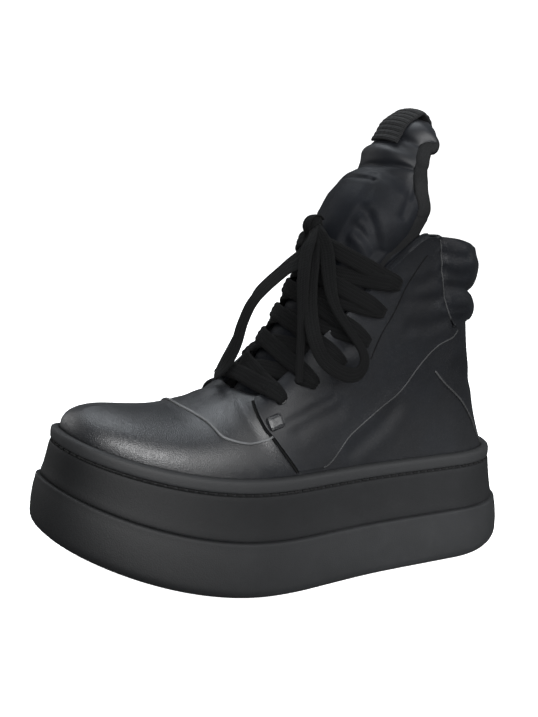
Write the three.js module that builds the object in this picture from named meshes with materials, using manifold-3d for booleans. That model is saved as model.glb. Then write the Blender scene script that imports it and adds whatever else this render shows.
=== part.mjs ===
// A left platform high-top sneaker, built as its maker would: a two-band sole, a hollow upper closed over a last,
// quarter panels laid on it, a tall padded tongue with a webbing pull loop, flat laces tied in a bow,
// and a metal zip with a hinged pull tab on the inner side.
// Millimetres. +X points to the toe, +Y to the outer side of the foot, +Z up. The origin is on the floor.
import * as THREE from "three";
import { mergeVertices } from "three/addons/utils/BufferGeometryUtils.js";
import Module from "manifold-3d";

const wasm = await Module();
wasm.setup();

const OUTER = 1;
const INNER = -1;
const GAP = 0.3;

// Plan of the sole at the step between its two bands
const PLAN_LENGTH = 300;
const TOE_STATION = 50;
const HEEL_STATION = -95;
const PLAN = [
  { x: HEEL_STATION, outer: 45.0, inner: 43.5 },
  { x: -40, outer: 46.5, inner: 42.5 },
  { x: 5, outer: 51.0, inner: 47.0 },
  { x: TOE_STATION, outer: 57.05, inner: 55.95 },
];
const TOE_ROUND = 2.35;
const HEEL_ROUND = 2.3;
const TOE_INWARD = 5;
const STATIONS = 32;

// Heights of the sole over the floor
const STEP_HEIGHT = 32;
const RIM_HEIGHT = 66;
const CUP_DEPTH = 8;
const SPRING_START = 10;
const SPRING = { bottom: 31, step: 29.5, rim: 25 };
const HEEL_BEVEL = { start: -95, rise: 5 };

// How far the sole's side stands out from the plan
const FLARE = 4.9;
const RIM_INSET = 5.6;
const CUP_INSET = 9.7;

// The upper and what lies on it
const FEATHER_INSET = 10;
const WALL = 2.6;
const COLLAR_WALL = 5.0;
const UPPER_ROWS = 12;
const PANEL = 1.2;
const PANEL_GAP = 0.9;
const INSOLE = 4;

// Columns of the last: where each leaves the sole, where it ends at the throat or collar, and how it arches over.
const LAST = [
  { name: "toe tip", footX: 140, topX: 122, topY: 0, topZ: 101, arch: 0.9, bow: 0, waist: 0 },
  { name: "toe side", footX: 120, topX: 113, topY: 0, topZ: 100.3, arch: 0.85, bow: 0, waist: 0 },
  { name: "ball", footX: 80, topX: 82, topY: 0, topZ: 97.3, arch: 0.85, bow: 0, waist: 0 },
  { name: "vamp", footX: 48, topX: 60, topY: 0, topZ: 101.5, arch: 0.9, bow: 6, waist: 0 },
  { name: "throat base", footX: 30, topX: 43, topY: 0, topZ: 107, arch: 1.0, bow: 12, waist: 0 },
  { name: "panel front", footX: 22, topX: 38, topY: 18, topZ: 107, arch: 1.0, bow: 12, waist: 0 },
  { name: "low lacing", footX: 2, topX: 18, topY: 24.5, topZ: 121, arch: 1.05, bow: 7, waist: 0 },
  { name: "mid lacing", footX: -16, topX: 2, topY: 26.5, topZ: 139, arch: 1.15, bow: 3, waist: 0.5 },
  { name: "high lacing", footX: -32, topX: -16, topY: 30, topZ: 158, arch: 1.25, bow: 0, waist: 1.5 },
  { name: "throat corner", footX: -46, topX: -34, topY: 35, topZ: 179, arch: 1.4, bow: 0, waist: 2.5 },
  { name: "collar front", footX: -62, topX: -58, topY: 39.5, topZ: 200, arch: 1.5, bow: 0, waist: 3.5 },
  { name: "collar side", footX: -90, topX: -77, topY: 38.5, topZ: 199, arch: 1.65, bow: 0, waist: 4 },
  { name: "collar back", footX: -122, topX: -102, topY: 27, topZ: 194, arch: 1.8, bow: 0, waist: 7 },
  { name: "heel", footX: -140, topX: -114, topY: 0, topZ: 190, arch: 1.9, bow: 0, waist: 9.5 },
];

// Padded rolls round the back of the collar, measured down from its edge
const ROLLS = [
  { from: 0, to: 29, out: 7.0 },
  { from: 29, to: 48, out: 5.5 },
];
const ROLL_SEAM = { topX: -80, topZ: 199, lowX: -102, lowZ: 145, soft: 9 };

// Quarter panels: on each column of the last, the stretch from its lower edge to its upper edge
const QUARTER = {
  [OUTER]: [
    { footX: 18, low: 0.03, high: 0.86 },
    { footX: 8, low: 0.03, high: 0.95 },
    { footX: 2, low: 0.03, high: 0.985 },
    { footX: -19, low: 0.2, high: 0.985 },
    { footX: -38, low: 0.28, high: 0.985 },
    { footX: -53, low: 0.325, high: 0.985 },
    { footX: -65, low: 0.4, high: 0.985 },
    { footX: -80, low: 0.46, high: 0.985 },
    { footX: -86, low: 0.475, high: 0.66 },
    { footX: -92, low: 0.49, high: 0.59 },
    { footX: -103, low: 0.52, high: 0.555 },
  ],
  [INNER]: [
    { footX: 18, low: 0.03, high: 0.86 },
    { footX: 8, low: 0.03, high: 0.95 },
    { footX: 2, low: 0.03, high: 0.985 },
    { footX: -18, low: 0.03, high: 0.985 },
    { footX: -24, low: 0.07, high: 0.985 },
    { footX: -50, low: 0.55, high: 0.985 },
    { footX: -72, low: 0.94, high: 0.985 },
  ],
};
const QUARTER_COLUMNS = 14;
const QUARTER_ROWS = 5;

// Zip: from the collar down to the sole on the inner side
const ZIP_TOP = { footX: -80, height: 0.95 };
const ZIP_END = { footX: -28, height: 0.05 };
const CHAIN = { width: 5, low: 0.7, high: 2.4, steps: 14 };
const SLIDER = { along: 0.05, wide: 9, deep: 3.2, tall: 11, ear: 1.6, pin: 1.0, pinOut: 9.8, pinUp: 1.5 };
const PULL = { eye: 2.4, hole: 1.4, eyeWide: 3.6, neck: 12, plateWide: 5.2, plateLong: 19, thick: 1.6, endHole: 1.3 };

// Laces, flat
const LACE = { width: 9.5, thick: 2, over: 3.0, steps: 5, centre: 3.4, bar: 8 };
const BOW = { width: 8, thick: 1.8, steps: 14 };
const KNOT = { step: 3.9, lift: 7.2, wide: 15.8, tall: 13, deep: 9 };

// Webbing loop over the tongue's head, as places along the tongue: how far from its front, and above its end
const LOOP_WIDTH = 25;
const LOOP_THICK = 1.8;
const LOOP_CLEAR = 0.9;
const LOOP_SPREAD = 4;

// Lace holes on each side, from the toe up, as places on the last
const EYELETS = [
  { footX: 12, height: 0.64 },
  { footX: -6, height: 0.61 },
  { footX: -20, height: 0.61 },
  { footX: -33, height: 0.62 },
  { footX: -43, height: 0.68 },
  { footX: -52, height: 0.73 },
];
const EYELET_DIAMETER = 5;
const EYELET_SIDES = 6;

// Tongue: its front centre line, the radius it is curled to, how far round it reaches, its thickness and its rolls
const TONGUE = [
  { x: 42, z: 99, radius: 22, reach: 50, thick: 5, roll: 0 },
  { x: 24, z: 123, radius: 25, reach: 60, thick: 7, roll: 0 },
  { x: 7, z: 150, radius: 26.5, reach: 68, thick: 9, roll: 0 },
  { x: -4, z: 174, radius: 29.5, reach: 75, thick: 10, roll: 0 },
  { x: -12.5, z: 201, radius: 33, reach: 82, thick: 11, roll: 0 },
  { x: -22.5, z: 218, radius: 36, reach: 84, thick: 12, roll: 1 },
  { x: -33, z: 231, radius: 36.5, reach: 74, thick: 11, roll: 0.5 },
  { x: -39.5, z: 238, radius: 37, reach: 70, thick: 8, roll: -2.5 },
  { x: -44, z: 246, radius: 37, reach: 69, thick: 11, roll: 0.5 },
  { x: -49, z: 252.5, radius: 37, reach: 67, thick: 9, roll: -1.5 },
  { x: -57, z: 261, radius: 37, reach: 60, thick: 12, roll: 1 },
  { x: -66, z: 268, radius: 36, reach: 44, thick: 8, roll: 0 },
];
const TONGUE_SIDES = 10;
const TONGUE_STEPS = 20;

// Small helpers
const clamp = THREE.MathUtils.clamp;
const lerp = THREE.MathUtils.lerp;
const smooth = (from, to, value) => {
  const t = clamp((value - from) / (to - from), 0, 1);
  return t * t * (3 - 2 * t);
};
const range = (count) => Array.from({ length: count }, (_, i) => i);

// A smooth curve through one column of a table, with no overshoot between its rows.
function throughTable(rows, along, column) {
  const x = rows.map((row) => row[along]);
  const y = rows.map((row) => row[column]);
  const slope = range(x.length - 1).map((i) => (y[i + 1] - y[i]) / (x[i + 1] - x[i]));
  const tangent = y.map((_, i) => {
    if (i === 0) return slope[0];
    if (i === slope.length) return slope[i - 1];
    const before = slope[i - 1];
    const after = slope[i];
    return before * after <= 0 ? 0 : (2 * before * after) / (before + after);
  });
  return (value) => {
    const i = clamp(x.filter((start) => start <= value).length - 1, 0, slope.length - 1);
    const step = x[i + 1] - x[i];
    const t = clamp((value - x[i]) / step, 0, 1);
    const rest = 1 - t;
    return (
      y[i] * rest * rest * (1 + 2 * t) +
      y[i + 1] * t * t * (3 - 2 * t) +
      step * t * rest * (tangent[i] * rest - tangent[i + 1] * t)
    );
  };
}

// Closed solids from rows of points
function geometryFrom(points, triangles) {
  const geometry = new THREE.BufferGeometry();
  geometry.setAttribute("position", new THREE.Float32BufferAttribute(points.flatMap((p) => p.toArray()), 3));
  geometry.setIndex(triangles.flat());
  return geometry;
}

function solidOf(geometry) {
  const bare = geometry.index ? geometry.toNonIndexed() : geometry.clone();
  bare.deleteAttribute("normal");
  bare.deleteAttribute("uv");
  const merged = mergeVertices(bare, 1e-4);
  return new wasm.Manifold(
    new wasm.Mesh({
      numProp: 3,
      vertProperties: merged.attributes.position.array,
      triVerts: new Uint32Array(merged.index.array),
    }),
  );
}

function geometryOf(solid) {
  const mesh = solid.getMesh();
  const geometry = new THREE.BufferGeometry();
  geometry.setAttribute("position", new THREE.BufferAttribute(new Float32Array(mesh.vertProperties), 3));
  geometry.setIndex(new THREE.BufferAttribute(new Uint32Array(mesh.triVerts), 1));
  return geometry;
}

// A closed skin over equal rings of points; each end is closed by a ladder between the ring's two halves.
function skinOver(rings) {
  const count = rings[0].length;
  const triangles = [];
  const quad = (a, b, c, d) => triangles.push([a, b, c], [a, c, d]);
  for (let row = 0; row + 1 < rings.length; row += 1) {
    for (let i = 0; i < count; i += 1) {
      const next = (i + 1) % count;
      quad(row * count + i, row * count + next, (row + 1) * count + next, (row + 1) * count + i);
    }
  }
  const ladder = (first, turned) => {
    for (let i = 0; i < count / 2; i += 1) {
      const [a, b] = [first + i, first + i + 1];
      const [c, d] = [first + count - i - 1, first + ((count - i) % count)];
      if (b !== c) triangles.push(turned ? [a, b, c] : [a, c, b]);
      if (a !== d) triangles.push(turned ? [a, c, d] : [a, d, c]);
    }
  };
  ladder(0, false);
  ladder((rings.length - 1) * count, true);
  return geometryFrom(rings.flat(), triangles);
}

// Plan of the sole: half widths by station, rounded off at toe and heel
const planWidth = {
  [OUTER]: throughTable(PLAN, "x", "outer"),
  [INNER]: throughTable(PLAN, "x", "inner"),
};

function halfWidth(side, x) {
  const roundOff = (t, power) => Math.max(0, 1 - t ** power) ** (1 / power);
  if (x > TOE_STATION) {
    const t = (x - TOE_STATION) / (PLAN_LENGTH / 2 - TOE_STATION);
    return planWidth[side](TOE_STATION) * roundOff(Math.min(t, 1), TOE_ROUND);
  }
  if (x < HEEL_STATION) {
    const t = (HEEL_STATION - x) / (PLAN_LENGTH / 2 + HEEL_STATION);
    return planWidth[side](HEEL_STATION) * roundOff(Math.min(t, 1), HEEL_ROUND);
  }
  return planWidth[side](x);
}

const inward = (x) => -TOE_INWARD * Math.max(0, (x - SPRING_START) / (PLAN_LENGTH / 2 - SPRING_START)) ** 2;

function planPoint(side, angle) {
  const x = (PLAN_LENGTH / 2) * Math.cos(angle);
  return new THREE.Vector2(x, inward(x) + side * halfWidth(side, x));
}

function planOut(side, angle) {
  if (angle < 0.02) return new THREE.Vector2(1, 0);
  if (angle > Math.PI - 0.02) return new THREE.Vector2(-1, 0);
  const tangent = planPoint(side, angle + 0.015).sub(planPoint(side, angle - 0.015));
  return new THREE.Vector2(tangent.y, -tangent.x).multiplyScalar(side).normalize();
}

const stationAngles = range(STATIONS + 1).map((i) => (Math.PI * i) / STATIONS);

// Points round the plan, offset outwards: down the outer side from toe to heel, then back up the inner side.
function planRing(offset, height) {
  const place = (side, angle) => {
    const flat = planPoint(side, angle).addScaledVector(planOut(side, angle), offset);
    return new THREE.Vector3(flat.x, flat.y, height(flat.x));
  };
  const outer = stationAngles.map((angle) => place(OUTER, angle));
  const inner = stationAngles.slice(1, -1).map((angle) => place(INNER, angle));
  return [...outer, ...inner.reverse()];
}

// Heights along the sole, with its toe spring and the bevel under the heel
const springAt = (x, rise) =>
  rise * Math.max(0, (x - SPRING_START) / (PLAN_LENGTH / 2 - SPRING_START)) ** 2;
const bevelAt = (x) =>
  HEEL_BEVEL.rise * Math.max(0, (HEEL_BEVEL.start - x) / (PLAN_LENGTH / 2 + HEEL_BEVEL.start)) ** 2;
const bottomAt = (x) => springAt(x, SPRING.bottom) + bevelAt(x);
const stepAt = (x) => STEP_HEIGHT + springAt(x, SPRING.step);
const rimAt = (x) => RIM_HEIGHT + springAt(x, SPRING.rim);
const floorAt = (x) => rimAt(x) - CUP_DEPTH;

function soleBand(rows) {
  return skinOver(rows.map(([offset, base, above]) => planRing(offset, (x) => base(x) + above)));
}

const outsole = soleBand([
  [FLARE - 7, bottomAt, 0],
  [FLARE - 2.2, bottomAt, 1.6],
  [FLARE, bottomAt, 6.5],
  [2.4, stepAt, -4],
  [1.6, stepAt, -1],
  [-0.2, stepAt, 0],
]);

const midsole = soleBand([
  [-1.0, stepAt, GAP],
  [-0.6, stepAt, 2],
  [-4.6, rimAt, -11],
  [-7.0, rimAt, -7.6],
  [-RIM_INSET, rimAt, -6.6],
  [-RIM_INSET, rimAt, -2.2],
  [-RIM_INSET - 1.2, rimAt, -0.4],
  [-CUP_INSET, rimAt, 0],
  [-CUP_INSET, floorAt, 0],
]);

const insole = soleBand([
  [-FEATHER_INSET - WALL - 0.6, floorAt, GAP],
  [-FEATHER_INSET - WALL - 0.6, floorAt, GAP + INSOLE - 1],
  [-FEATHER_INSET - WALL - 1.6, floorAt, GAP + INSOLE],
]);

// The last: columns from the sole's edge to the throat or collar
const FEATHER_HALF = PLAN_LENGTH / 2 - FEATHER_INSET;
const angleOf = (footX) => Math.acos(clamp(footX / FEATHER_HALF, -1, 1));
const byAngle = (rows) => rows.map((row) => ({ ...row, angle: angleOf(row.footX) }));
const lastRows = byAngle(LAST);
const last = Object.fromEntries(
  ["topX", "topY", "topZ", "arch", "bow", "waist"].map((key) => [key, throughTable(lastRows, "angle", key)]),
);
const RIDGE_END = angleOf(30);

function rollAt(x, z, edgeZ) {
  const down = edgeZ - z;
  const seamX = lerp(
    ROLL_SEAM.topX,
    ROLL_SEAM.lowX,
    clamp((ROLL_SEAM.topZ - z) / (ROLL_SEAM.topZ - ROLL_SEAM.lowZ), 0, 1),
  );
  const behind = smooth(seamX, seamX - ROLL_SEAM.soft, x);
  return ROLLS.reduce((sum, roll) => {
    const t = clamp((down - roll.from) / (roll.to - roll.from), 0, 1);
    return sum + behind * roll.out * Math.sin(Math.PI * t) ** 0.7;
  }, 0);
}

// A point on the outside of the upper. Height 0 is at the sole's rim and 1 at the throat or collar edge.
function lastPoint(side, angle, height, padded = true) {
  const out = planOut(side, angle);
  const foot = planPoint(side, angle).addScaledVector(out, -FEATHER_INSET);
  const footZ = rimAt(foot.x);
  const topX = last.topX(angle);
  const ridge = angle <= RIDGE_END + 1e-6;
  const topY = inward(topX) + (ridge ? 0 : side * last.topY(angle));
  const turn = (clamp(height, 0, 1) * Math.PI) / 2;
  const power = last.arch(angle);
  const rise = Math.sin(turn) ** power;
  const lean = 1 - Math.cos(turn) ** power;
  const arc = Math.sin(Math.PI * clamp(height, 0, 1));
  const z = lerp(footZ, last.topZ(angle), rise);
  const x = lerp(foot.x, topX, lean) + last.bow(angle) * arc;
  const y = lerp(foot.y, topY, lean);
  const roll = padded ? rollAt(x, z, last.topZ(angle)) : 0;
  const stand = roll - last.waist(angle) * arc ** 1.4;
  return new THREE.Vector3(x + out.x * stand, y + out.y * stand, z);
}

function lastNormal(side, angle, height) {
  const step = 0.02;
  const h = clamp(height, step, 1 - step);
  const a = clamp(angle, step, Math.PI - step);
  const along = lastPoint(side, a + step, h, false).sub(lastPoint(side, a - step, h, false));
  const up = lastPoint(side, a, h + step, false).sub(lastPoint(side, a, h - step, false));
  return along.cross(up).multiplyScalar(side).normalize();
}

// Rows of the wall: even round the arch over the toes, and even in height up the ankle
function rowHeight(angle, t) {
  const even = (2 / Math.PI) * Math.asin(t ** (1 / last.arch(angle)));
  return lerp(t, even, smooth(angleOf(-20), angleOf(-60), angle));
}

// Upper: one wall over the last, open at the throat and collar and open underneath
function buildUpper() {
  const sides = [OUTER, INNER];
  const rows = UPPER_ROWS + 1;
  const ids = new Map();
  const skin = [];
  const plain = [];
  const idOf = (side, i, j) => {
    const shared = i === 0 || i === STATIONS || (j === rows && stationAngles[i] <= RIDGE_END);
    const key = `${shared ? OUTER : side},${i},${j}`;
    if (!ids.has(key)) {
      ids.set(key, skin.length);
      const angle = stationAngles[i];
      const height = rowHeight(angle, Math.max(0, j - 1) / UPPER_ROWS);
      const pair = [lastPoint(side, angle, height), lastPoint(side, angle, height, false)];
      if (j === 0) pair.forEach((p) => (p.z = floorAt(p.x) + GAP));
      skin.push(pair[0]);
      plain.push(pair[1]);
    }
    return ids.get(key);
  };
  const faces = [];
  const quad = (a, b, c, d) => faces.push([a, b, c], [a, c, d]);
  for (const side of sides) {
    for (let i = 0; i < STATIONS; i += 1) {
      for (let j = 0; j < rows; j += 1) {
        const corners = [idOf(side, i, j), idOf(side, i + 1, j), idOf(side, i + 1, j + 1), idOf(side, i, j + 1)];
        quad(...(side === OUTER ? corners : corners.reverse()));
      }
    }
  }
  const sheet = geometryFrom(plain, faces);
  sheet.computeVertexNormals();
  const normals = sheet.getAttribute("normal");
  const lining = plain.map((p, id) => {
    const thick = lerp(WALL, COLLAR_WALL, smooth(-60, -95, p.x) * smooth(130, 165, p.z));
    const inside = p.clone().addScaledVector(new THREE.Vector3().fromBufferAttribute(normals, id), -thick);
    return inside;
  });
  range(STATIONS + 1).forEach((i) =>
    sides.forEach((side) => {
      const id = idOf(side, i, 0);
      const above = lining[idOf(side, i, 1)];
      lining[id].set(above.x, above.y, floorAt(plain[id].x) + GAP);
    }),
  );
  const count = skin.length;
  const triangles = [...faces, ...faces.map(([a, b, c]) => [count + a, count + c, count + b])];
  const close = (loop) =>
    loop.forEach((a, i) => {
      const b = loop[(i + 1) % loop.length];
      triangles.push([a, count + a, count + b], [a, count + b, b]);
    });
  const around = (first, j) => [
    ...range(STATIONS + 1 - first).map((i) => idOf(OUTER, first + i, j)),
    ...range(STATIONS - 1 - first).map((i) => idOf(INNER, STATIONS - 1 - i, j)),
  ];
  const throat = stationAngles.filter((angle) => angle <= RIDGE_END).length - 1;
  close(around(0, 0));
  close(around(throat, rows).reverse());
  return geometryFrom([...skin, ...lining], triangles);
}

// A panel on the last: rows of (angle, low, high) give its lower and upper edges, and it lies from one level to another.
function panelOn(side, columns, rows, low, high) {
  const layer = (level) =>
    columns.map(({ angle, low: from, high: to }) =>
      range(rows + 1).map((j) => {
        const height = lerp(from, to, j / rows);
        return lastPoint(side, angle, height).addScaledVector(lastNormal(side, angle, height), level);
      }),
    );
  const bottom = layer(low);
  const top = layer(high);
  const rings = columns.map((_, i) => {
    const ring = [...bottom[i], ...top[i].slice().reverse()];
    return side === OUTER ? ring : ring.reverse();
  });
  return skinOver(rings);
}

function quarterColumns(side) {
  const rows = byAngle(QUARTER[side]);
  const low = throughTable(rows, "angle", "low");
  const high = throughTable(rows, "angle", "high");
  const first = rows[0].angle;
  const final = rows[rows.length - 1].angle;
  return range(QUARTER_COLUMNS + 1).map((i) => {
    const angle = lerp(first, final, i / QUARTER_COLUMNS);
    return { angle, low: low(angle), high: high(angle) };
  });
}

function eyeletPlace(side, { footX, height }) {
  const angle = angleOf(footX);
  const normal = lastNormal(side, angle, height);
  return { point: lastPoint(side, angle, height), normal };
}

function withEyelets(geometry, side) {
  return EYELETS.reduce((solid, eyelet) => {
    const { point, normal } = eyeletPlace(side, eyelet);
    const punch = new THREE.CylinderGeometry(EYELET_DIAMETER / 2, EYELET_DIAMETER / 2, 24, EYELET_SIDES);
    punch.applyQuaternion(new THREE.Quaternion().setFromUnitVectors(new THREE.Vector3(0, 1, 0), normal));
    punch.translate(point.x, point.y, point.z);
    return solid.subtract(solidOf(punch));
  }, geometry);
}

const upperSolid = withEyelets(withEyelets(solidOf(buildUpper()), OUTER), INNER).simplify(0.1);
const quarter = (side) => {
  const panel = panelOn(side, quarterColumns(side), QUARTER_ROWS, PANEL_GAP, PANEL_GAP + PANEL);
  return geometryOf(withEyelets(solidOf(panel), side));
};

// Tongue: curled sections along its centre line
const tongueRows = TONGUE.map((row, i) => ({ ...row, step: i }));
const tongue = Object.fromEntries(
  ["x", "z", "radius", "reach", "thick", "roll"].map((key) => [key, throughTable(tongueRows, "step", key)]),
);
const TONGUE_END = TONGUE.length - 1;

function tongueFrame(step) {
  const at = clamp(step, 0.02, TONGUE_END - 0.02);
  const along = new THREE.Vector3(
    tongue.x(at + 0.02) - tongue.x(at - 0.02),
    0,
    tongue.z(at + 0.02) - tongue.z(at - 0.02),
  ).normalize();
  const front = new THREE.Vector3(along.z, 0, -along.x);
  return { centre: new THREE.Vector3(tongue.x(step), inward(tongue.x(step)), tongue.z(step)), along, front };
}

// A point of the tongue: turn 0 is its front centre, and lift is how far it lies outside the front surface.
function tonguePoint(step, turn, lift) {
  const { centre, front } = tongueFrame(step);
  const radius = tongue.radius(step);
  const far = radius + lift;
  return centre
    .clone()
    .addScaledVector(front, far * Math.cos(turn) - radius)
    .add(new THREE.Vector3(0, far * Math.sin(turn), 0));
}

function buildTongue() {
  const rings = range(TONGUE_STEPS + 1).map((i) => {
    const step = (TONGUE_END * i) / TONGUE_STEPS;
    const reach = THREE.MathUtils.degToRad(tongue.reach(step));
    const turns = range(TONGUE_SIDES + 1).map((k) => lerp(-reach, reach, k / TONGUE_SIDES));
    const edge = (turn) => Math.max(0, 1 - (Math.abs(turn) / reach) ** 4);
    const outside = turns.map((turn) => tonguePoint(step, turn, tongue.roll(step) * edge(turn)));
    const inside = turns.map((turn) => tonguePoint(step, turn, -tongue.thick(step) * (0.55 + 0.45 * edge(turn))));
    return [...outside, ...inside.reverse()];
  });
  return skinOver(rings);
}

// Webbing loop: up the front of the tongue's head, over its end and down behind
function buildLoop() {
  const end = TONGUE_END;
  const front = (step, level) => ({ step, lift: tongue.roll(step) + level, rise: 0 });
  const back = (step, level) => ({ step, lift: -tongue.thick(step) - level, rise: 0 });
  const over = (share, level) => {
    const turn = Math.PI * share;
    const middle = -tongue.thick(end) / 2;
    const half = -middle + level;
    return { step: end, lift: middle + half * Math.cos(turn), rise: half * 0.55 * Math.sin(turn) };
  };
  const path = (level) => [
    ...[8.9, 9.4, 9.9, 10.4, 10.8].map((step) => front(step, level)),
    ...[0.12, 0.37, 0.63, 0.88].map((share) => over(share, level)),
    ...[10.8, 10.2, 9.5].map((step) => back(step, level)),
  ];
  const place = ({ step, lift, rise }, share) => {
    const turn = (share * LOOP_WIDTH) / 2 / tongue.radius(step);
    return tonguePoint(step, turn, lift).addScaledVector(tongueFrame(step).along, rise);
  };
  const shares = range(LOOP_SPREAD + 1).map((k) => (2 * k) / LOOP_SPREAD - 1);
  const low = path(LOOP_CLEAR);
  const high = path(LOOP_CLEAR + LOOP_THICK);
  const rings = low.map((_, i) => [
    ...shares.map((share) => place(high[i], share)),
    ...shares.map((share) => place(low[i], share)).reverse(),
  ]);
  return skinOver(rings);
}

// A flat cord along points, lying flat against the directions given
function flatCord(points, facings, width, thick) {
  const rings = points.map((point, i) => {
    const ahead = points[Math.min(i + 1, points.length - 1)];
    const behind = points[Math.max(i - 1, 0)];
    const along = ahead.clone().sub(behind).normalize();
    const across = along.clone().cross(facings[i]).normalize();
    const out = across.clone().cross(along).normalize();
    const corner = (side, level) =>
      point.clone().addScaledVector(across, (side * width) / 2).addScaledVector(out, (level * thick) / 2);
    return [corner(-1, 1), corner(1, 1), corner(1, -1), corner(-1, -1)];
  });
  return skinOver(rings);
}

// Where a point lies beside the tongue: its step along it, its turn round it and its lift off it
function besideTongue(point) {
  let low = 0;
  let high = TONGUE_END;
  range(30).forEach(() => {
    const middle = (low + high) / 2;
    const { centre, along } = tongueFrame(middle);
    if (point.clone().sub(centre).dot(along) > 0) low = middle;
    else high = middle;
  });
  const { centre, front } = tongueFrame(low);
  const radius = tongue.radius(low);
  const away = point.clone().sub(centre);
  const forward = away.dot(front) + radius;
  return { step: low, turn: Math.atan2(away.y, forward), lift: Math.hypot(away.y, forward) - radius };
}

const facingAt = (step, turn) => tonguePoint(step, turn, 1).sub(tonguePoint(step, turn, 0));

// A lace hole seen from the tongue, with room for the lace over the panel
function holeBeside(side, hole) {
  const { point, normal } = eyeletPlace(side, EYELETS[hole]);
  const level = PANEL_GAP + PANEL + LACE.over + LACE.thick / 2;
  return { ...besideTongue(point.addScaledVector(normal, level)), facing: normal };
}

// A strap of lace between two places beside the tongue, dipping to the middle height between them
function strap(from, to, middle) {
  const path = range(LACE.steps + 1).map((i) => {
    const t = i / LACE.steps;
    const step = lerp(from.step, to.step, t);
    const turn = lerp(from.turn, to.turn, t);
    const outness = smooth(0.05, 0.5, Math.abs(2 * t - 1));
    const lift = lerp(middle, lerp(from.lift, to.lift, t), outness);
    const end = t < 0.5 ? from.facing : to.facing;
    return { point: tonguePoint(step, turn, lift), facing: facingAt(step, turn).lerp(end, outness) };
  });
  return flatCord(path.map(({ point }) => point), path.map(({ facing }) => facing), LACE.width, LACE.thick);
}

function buildCrossings() {
  const top = EYELETS.length - 1;
  const holes = Object.fromEntries(
    [OUTER, INNER].map((side) => [side, EYELETS.map((_, hole) => holeBeside(side, hole))]),
  );
  const knotSide = (side) => {
    const turn = side * 0.21;
    return { step: KNOT.step, turn, lift: KNOT.lift - 1, facing: facingAt(KNOT.step, turn) };
  };
  const straps = [strap(holes[OUTER][0], holes[INNER][0], LACE.bar)];
  range(top).forEach((i) => {
    straps.push(strap(holes[OUTER][i], holes[INNER][i + 1], LACE.centre));
    straps.push(strap(holes[OUTER][i + 1], holes[INNER][i], LACE.centre));
  });
  [OUTER, INNER].forEach((side) => straps.push(strap(holes[side][top], knotSide(side), KNOT.lift + 1)));
  return geometryOf(wasm.Manifold.union(straps.map(solidOf)).simplify(0.2));
}

// Bow: two loops and two ends that hang from the knot, as points along their middles
const BOW_PATHS = {
  lace_loop_outer: [
    { x: -4, y: 14, z: 197 },
    { x: -3, y: 24, z: 184 },
    { x: -3, y: 34, z: 170 },
    { x: -6, y: 43, z: 152 },
    { x: -12, y: 47, z: 140 },
    { x: -14, y: 49, z: 131 },
    { x: -9, y: 50, z: 125 },
    { x: 0, y: 50, z: 127 },
    { x: 9, y: 48, z: 136 },
    { x: 13, y: 43, z: 149 },
    { x: 11, y: 34, z: 166 },
    { x: 6, y: 25, z: 180 },
  ],
  lace_loop_inner: [
    { x: 0, y: -2, z: 196 },
    { x: 6, y: -6, z: 186 },
    { x: 12, y: -10, z: 179 },
    { x: 21, y: -13, z: 165 },
    { x: 29, y: -14, z: 150 },
    { x: 36, y: -12, z: 133 },
    { x: 46, y: -6, z: 121 },
    { x: 54, y: 0, z: 118 },
    { x: 53, y: 5, z: 127 },
    { x: 45, y: 4, z: 143 },
    { x: 35, y: 3, z: 162 },
    { x: 23, y: 3, z: 175 },
    { x: 11, y: 5, z: 184 },
  ],
  lace_end_outer: [
    { x: 4, y: 12, z: 191 },
    { x: 9, y: 16, z: 184 },
    { x: 14, y: 22, z: 172 },
    { x: 19, y: 31, z: 153 },
    { x: 23, y: 38, z: 134 },
    { x: 25, y: 42, z: 118 },
  ],
  lace_end_inner: [
    { x: -2, y: -10, z: 195 },
    { x: -4, y: -23, z: 191 },
    { x: -14, y: -37, z: 181 },
    { x: -17, y: -44, z: 166 },
    { x: -15, y: -46, z: 150 },
    { x: -9, y: -46, z: 136 },
    { x: -2, y: -47, z: 121 },
    { x: 4, y: -49, z: 104 },
  ],
};

function bowCord(places) {
  const spots = places.map(({ x, y, z }) => new THREE.Vector3(x, y, z));
  const curve = new THREE.CatmullRomCurve3(spots);
  const points = curve.getSpacedPoints(BOW.steps);
  const facings = points.map((point) => {
    const { step, turn } = besideTongue(point);
    return facingAt(step, turn);
  });
  return flatCord(points, facings, BOW.width, BOW.thick);
}

function buildKnot() {
  const { front, along } = tongueFrame(KNOT.step);
  const knot = new THREE.SphereGeometry(0.5, 8, 6);
  const across = new THREE.Vector3().crossVectors(along, front);
  const axes = [
    across.multiplyScalar(KNOT.wide),
    along.clone().multiplyScalar(KNOT.tall),
    front.clone().multiplyScalar(-KNOT.deep),
  ];
  const frame = new THREE.Matrix4().makeBasis(...axes);
  if (frame.determinant() < 0) frame.makeBasis(axes[0].negate(), axes[1], axes[2]);
  knot.applyMatrix4(frame.setPosition(tonguePoint(KNOT.step, 0, KNOT.lift)));
  return knot;
}

// Zip: the chain follows the last, and the slider and its pull tab stand upright at the top
const zipPlace = (t) => ({
  angle: angleOf(lerp(ZIP_TOP.footX, ZIP_END.footX, t)),
  height: lerp(ZIP_TOP.height, ZIP_END.height, t),
});

function buildChain() {
  const places = range(CHAIN.steps + 1).map((i) => zipPlace(i / CHAIN.steps));
  const middle = (CHAIN.low + CHAIN.high) / 2;
  const facings = places.map(({ angle, height }) => lastNormal(INNER, angle, height));
  const points = places.map(({ angle, height }, i) =>
    lastPoint(INNER, angle, height).addScaledVector(facings[i], middle),
  );
  return flatCord(points, facings, CHAIN.width, CHAIN.high - CHAIN.low);
}

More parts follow.
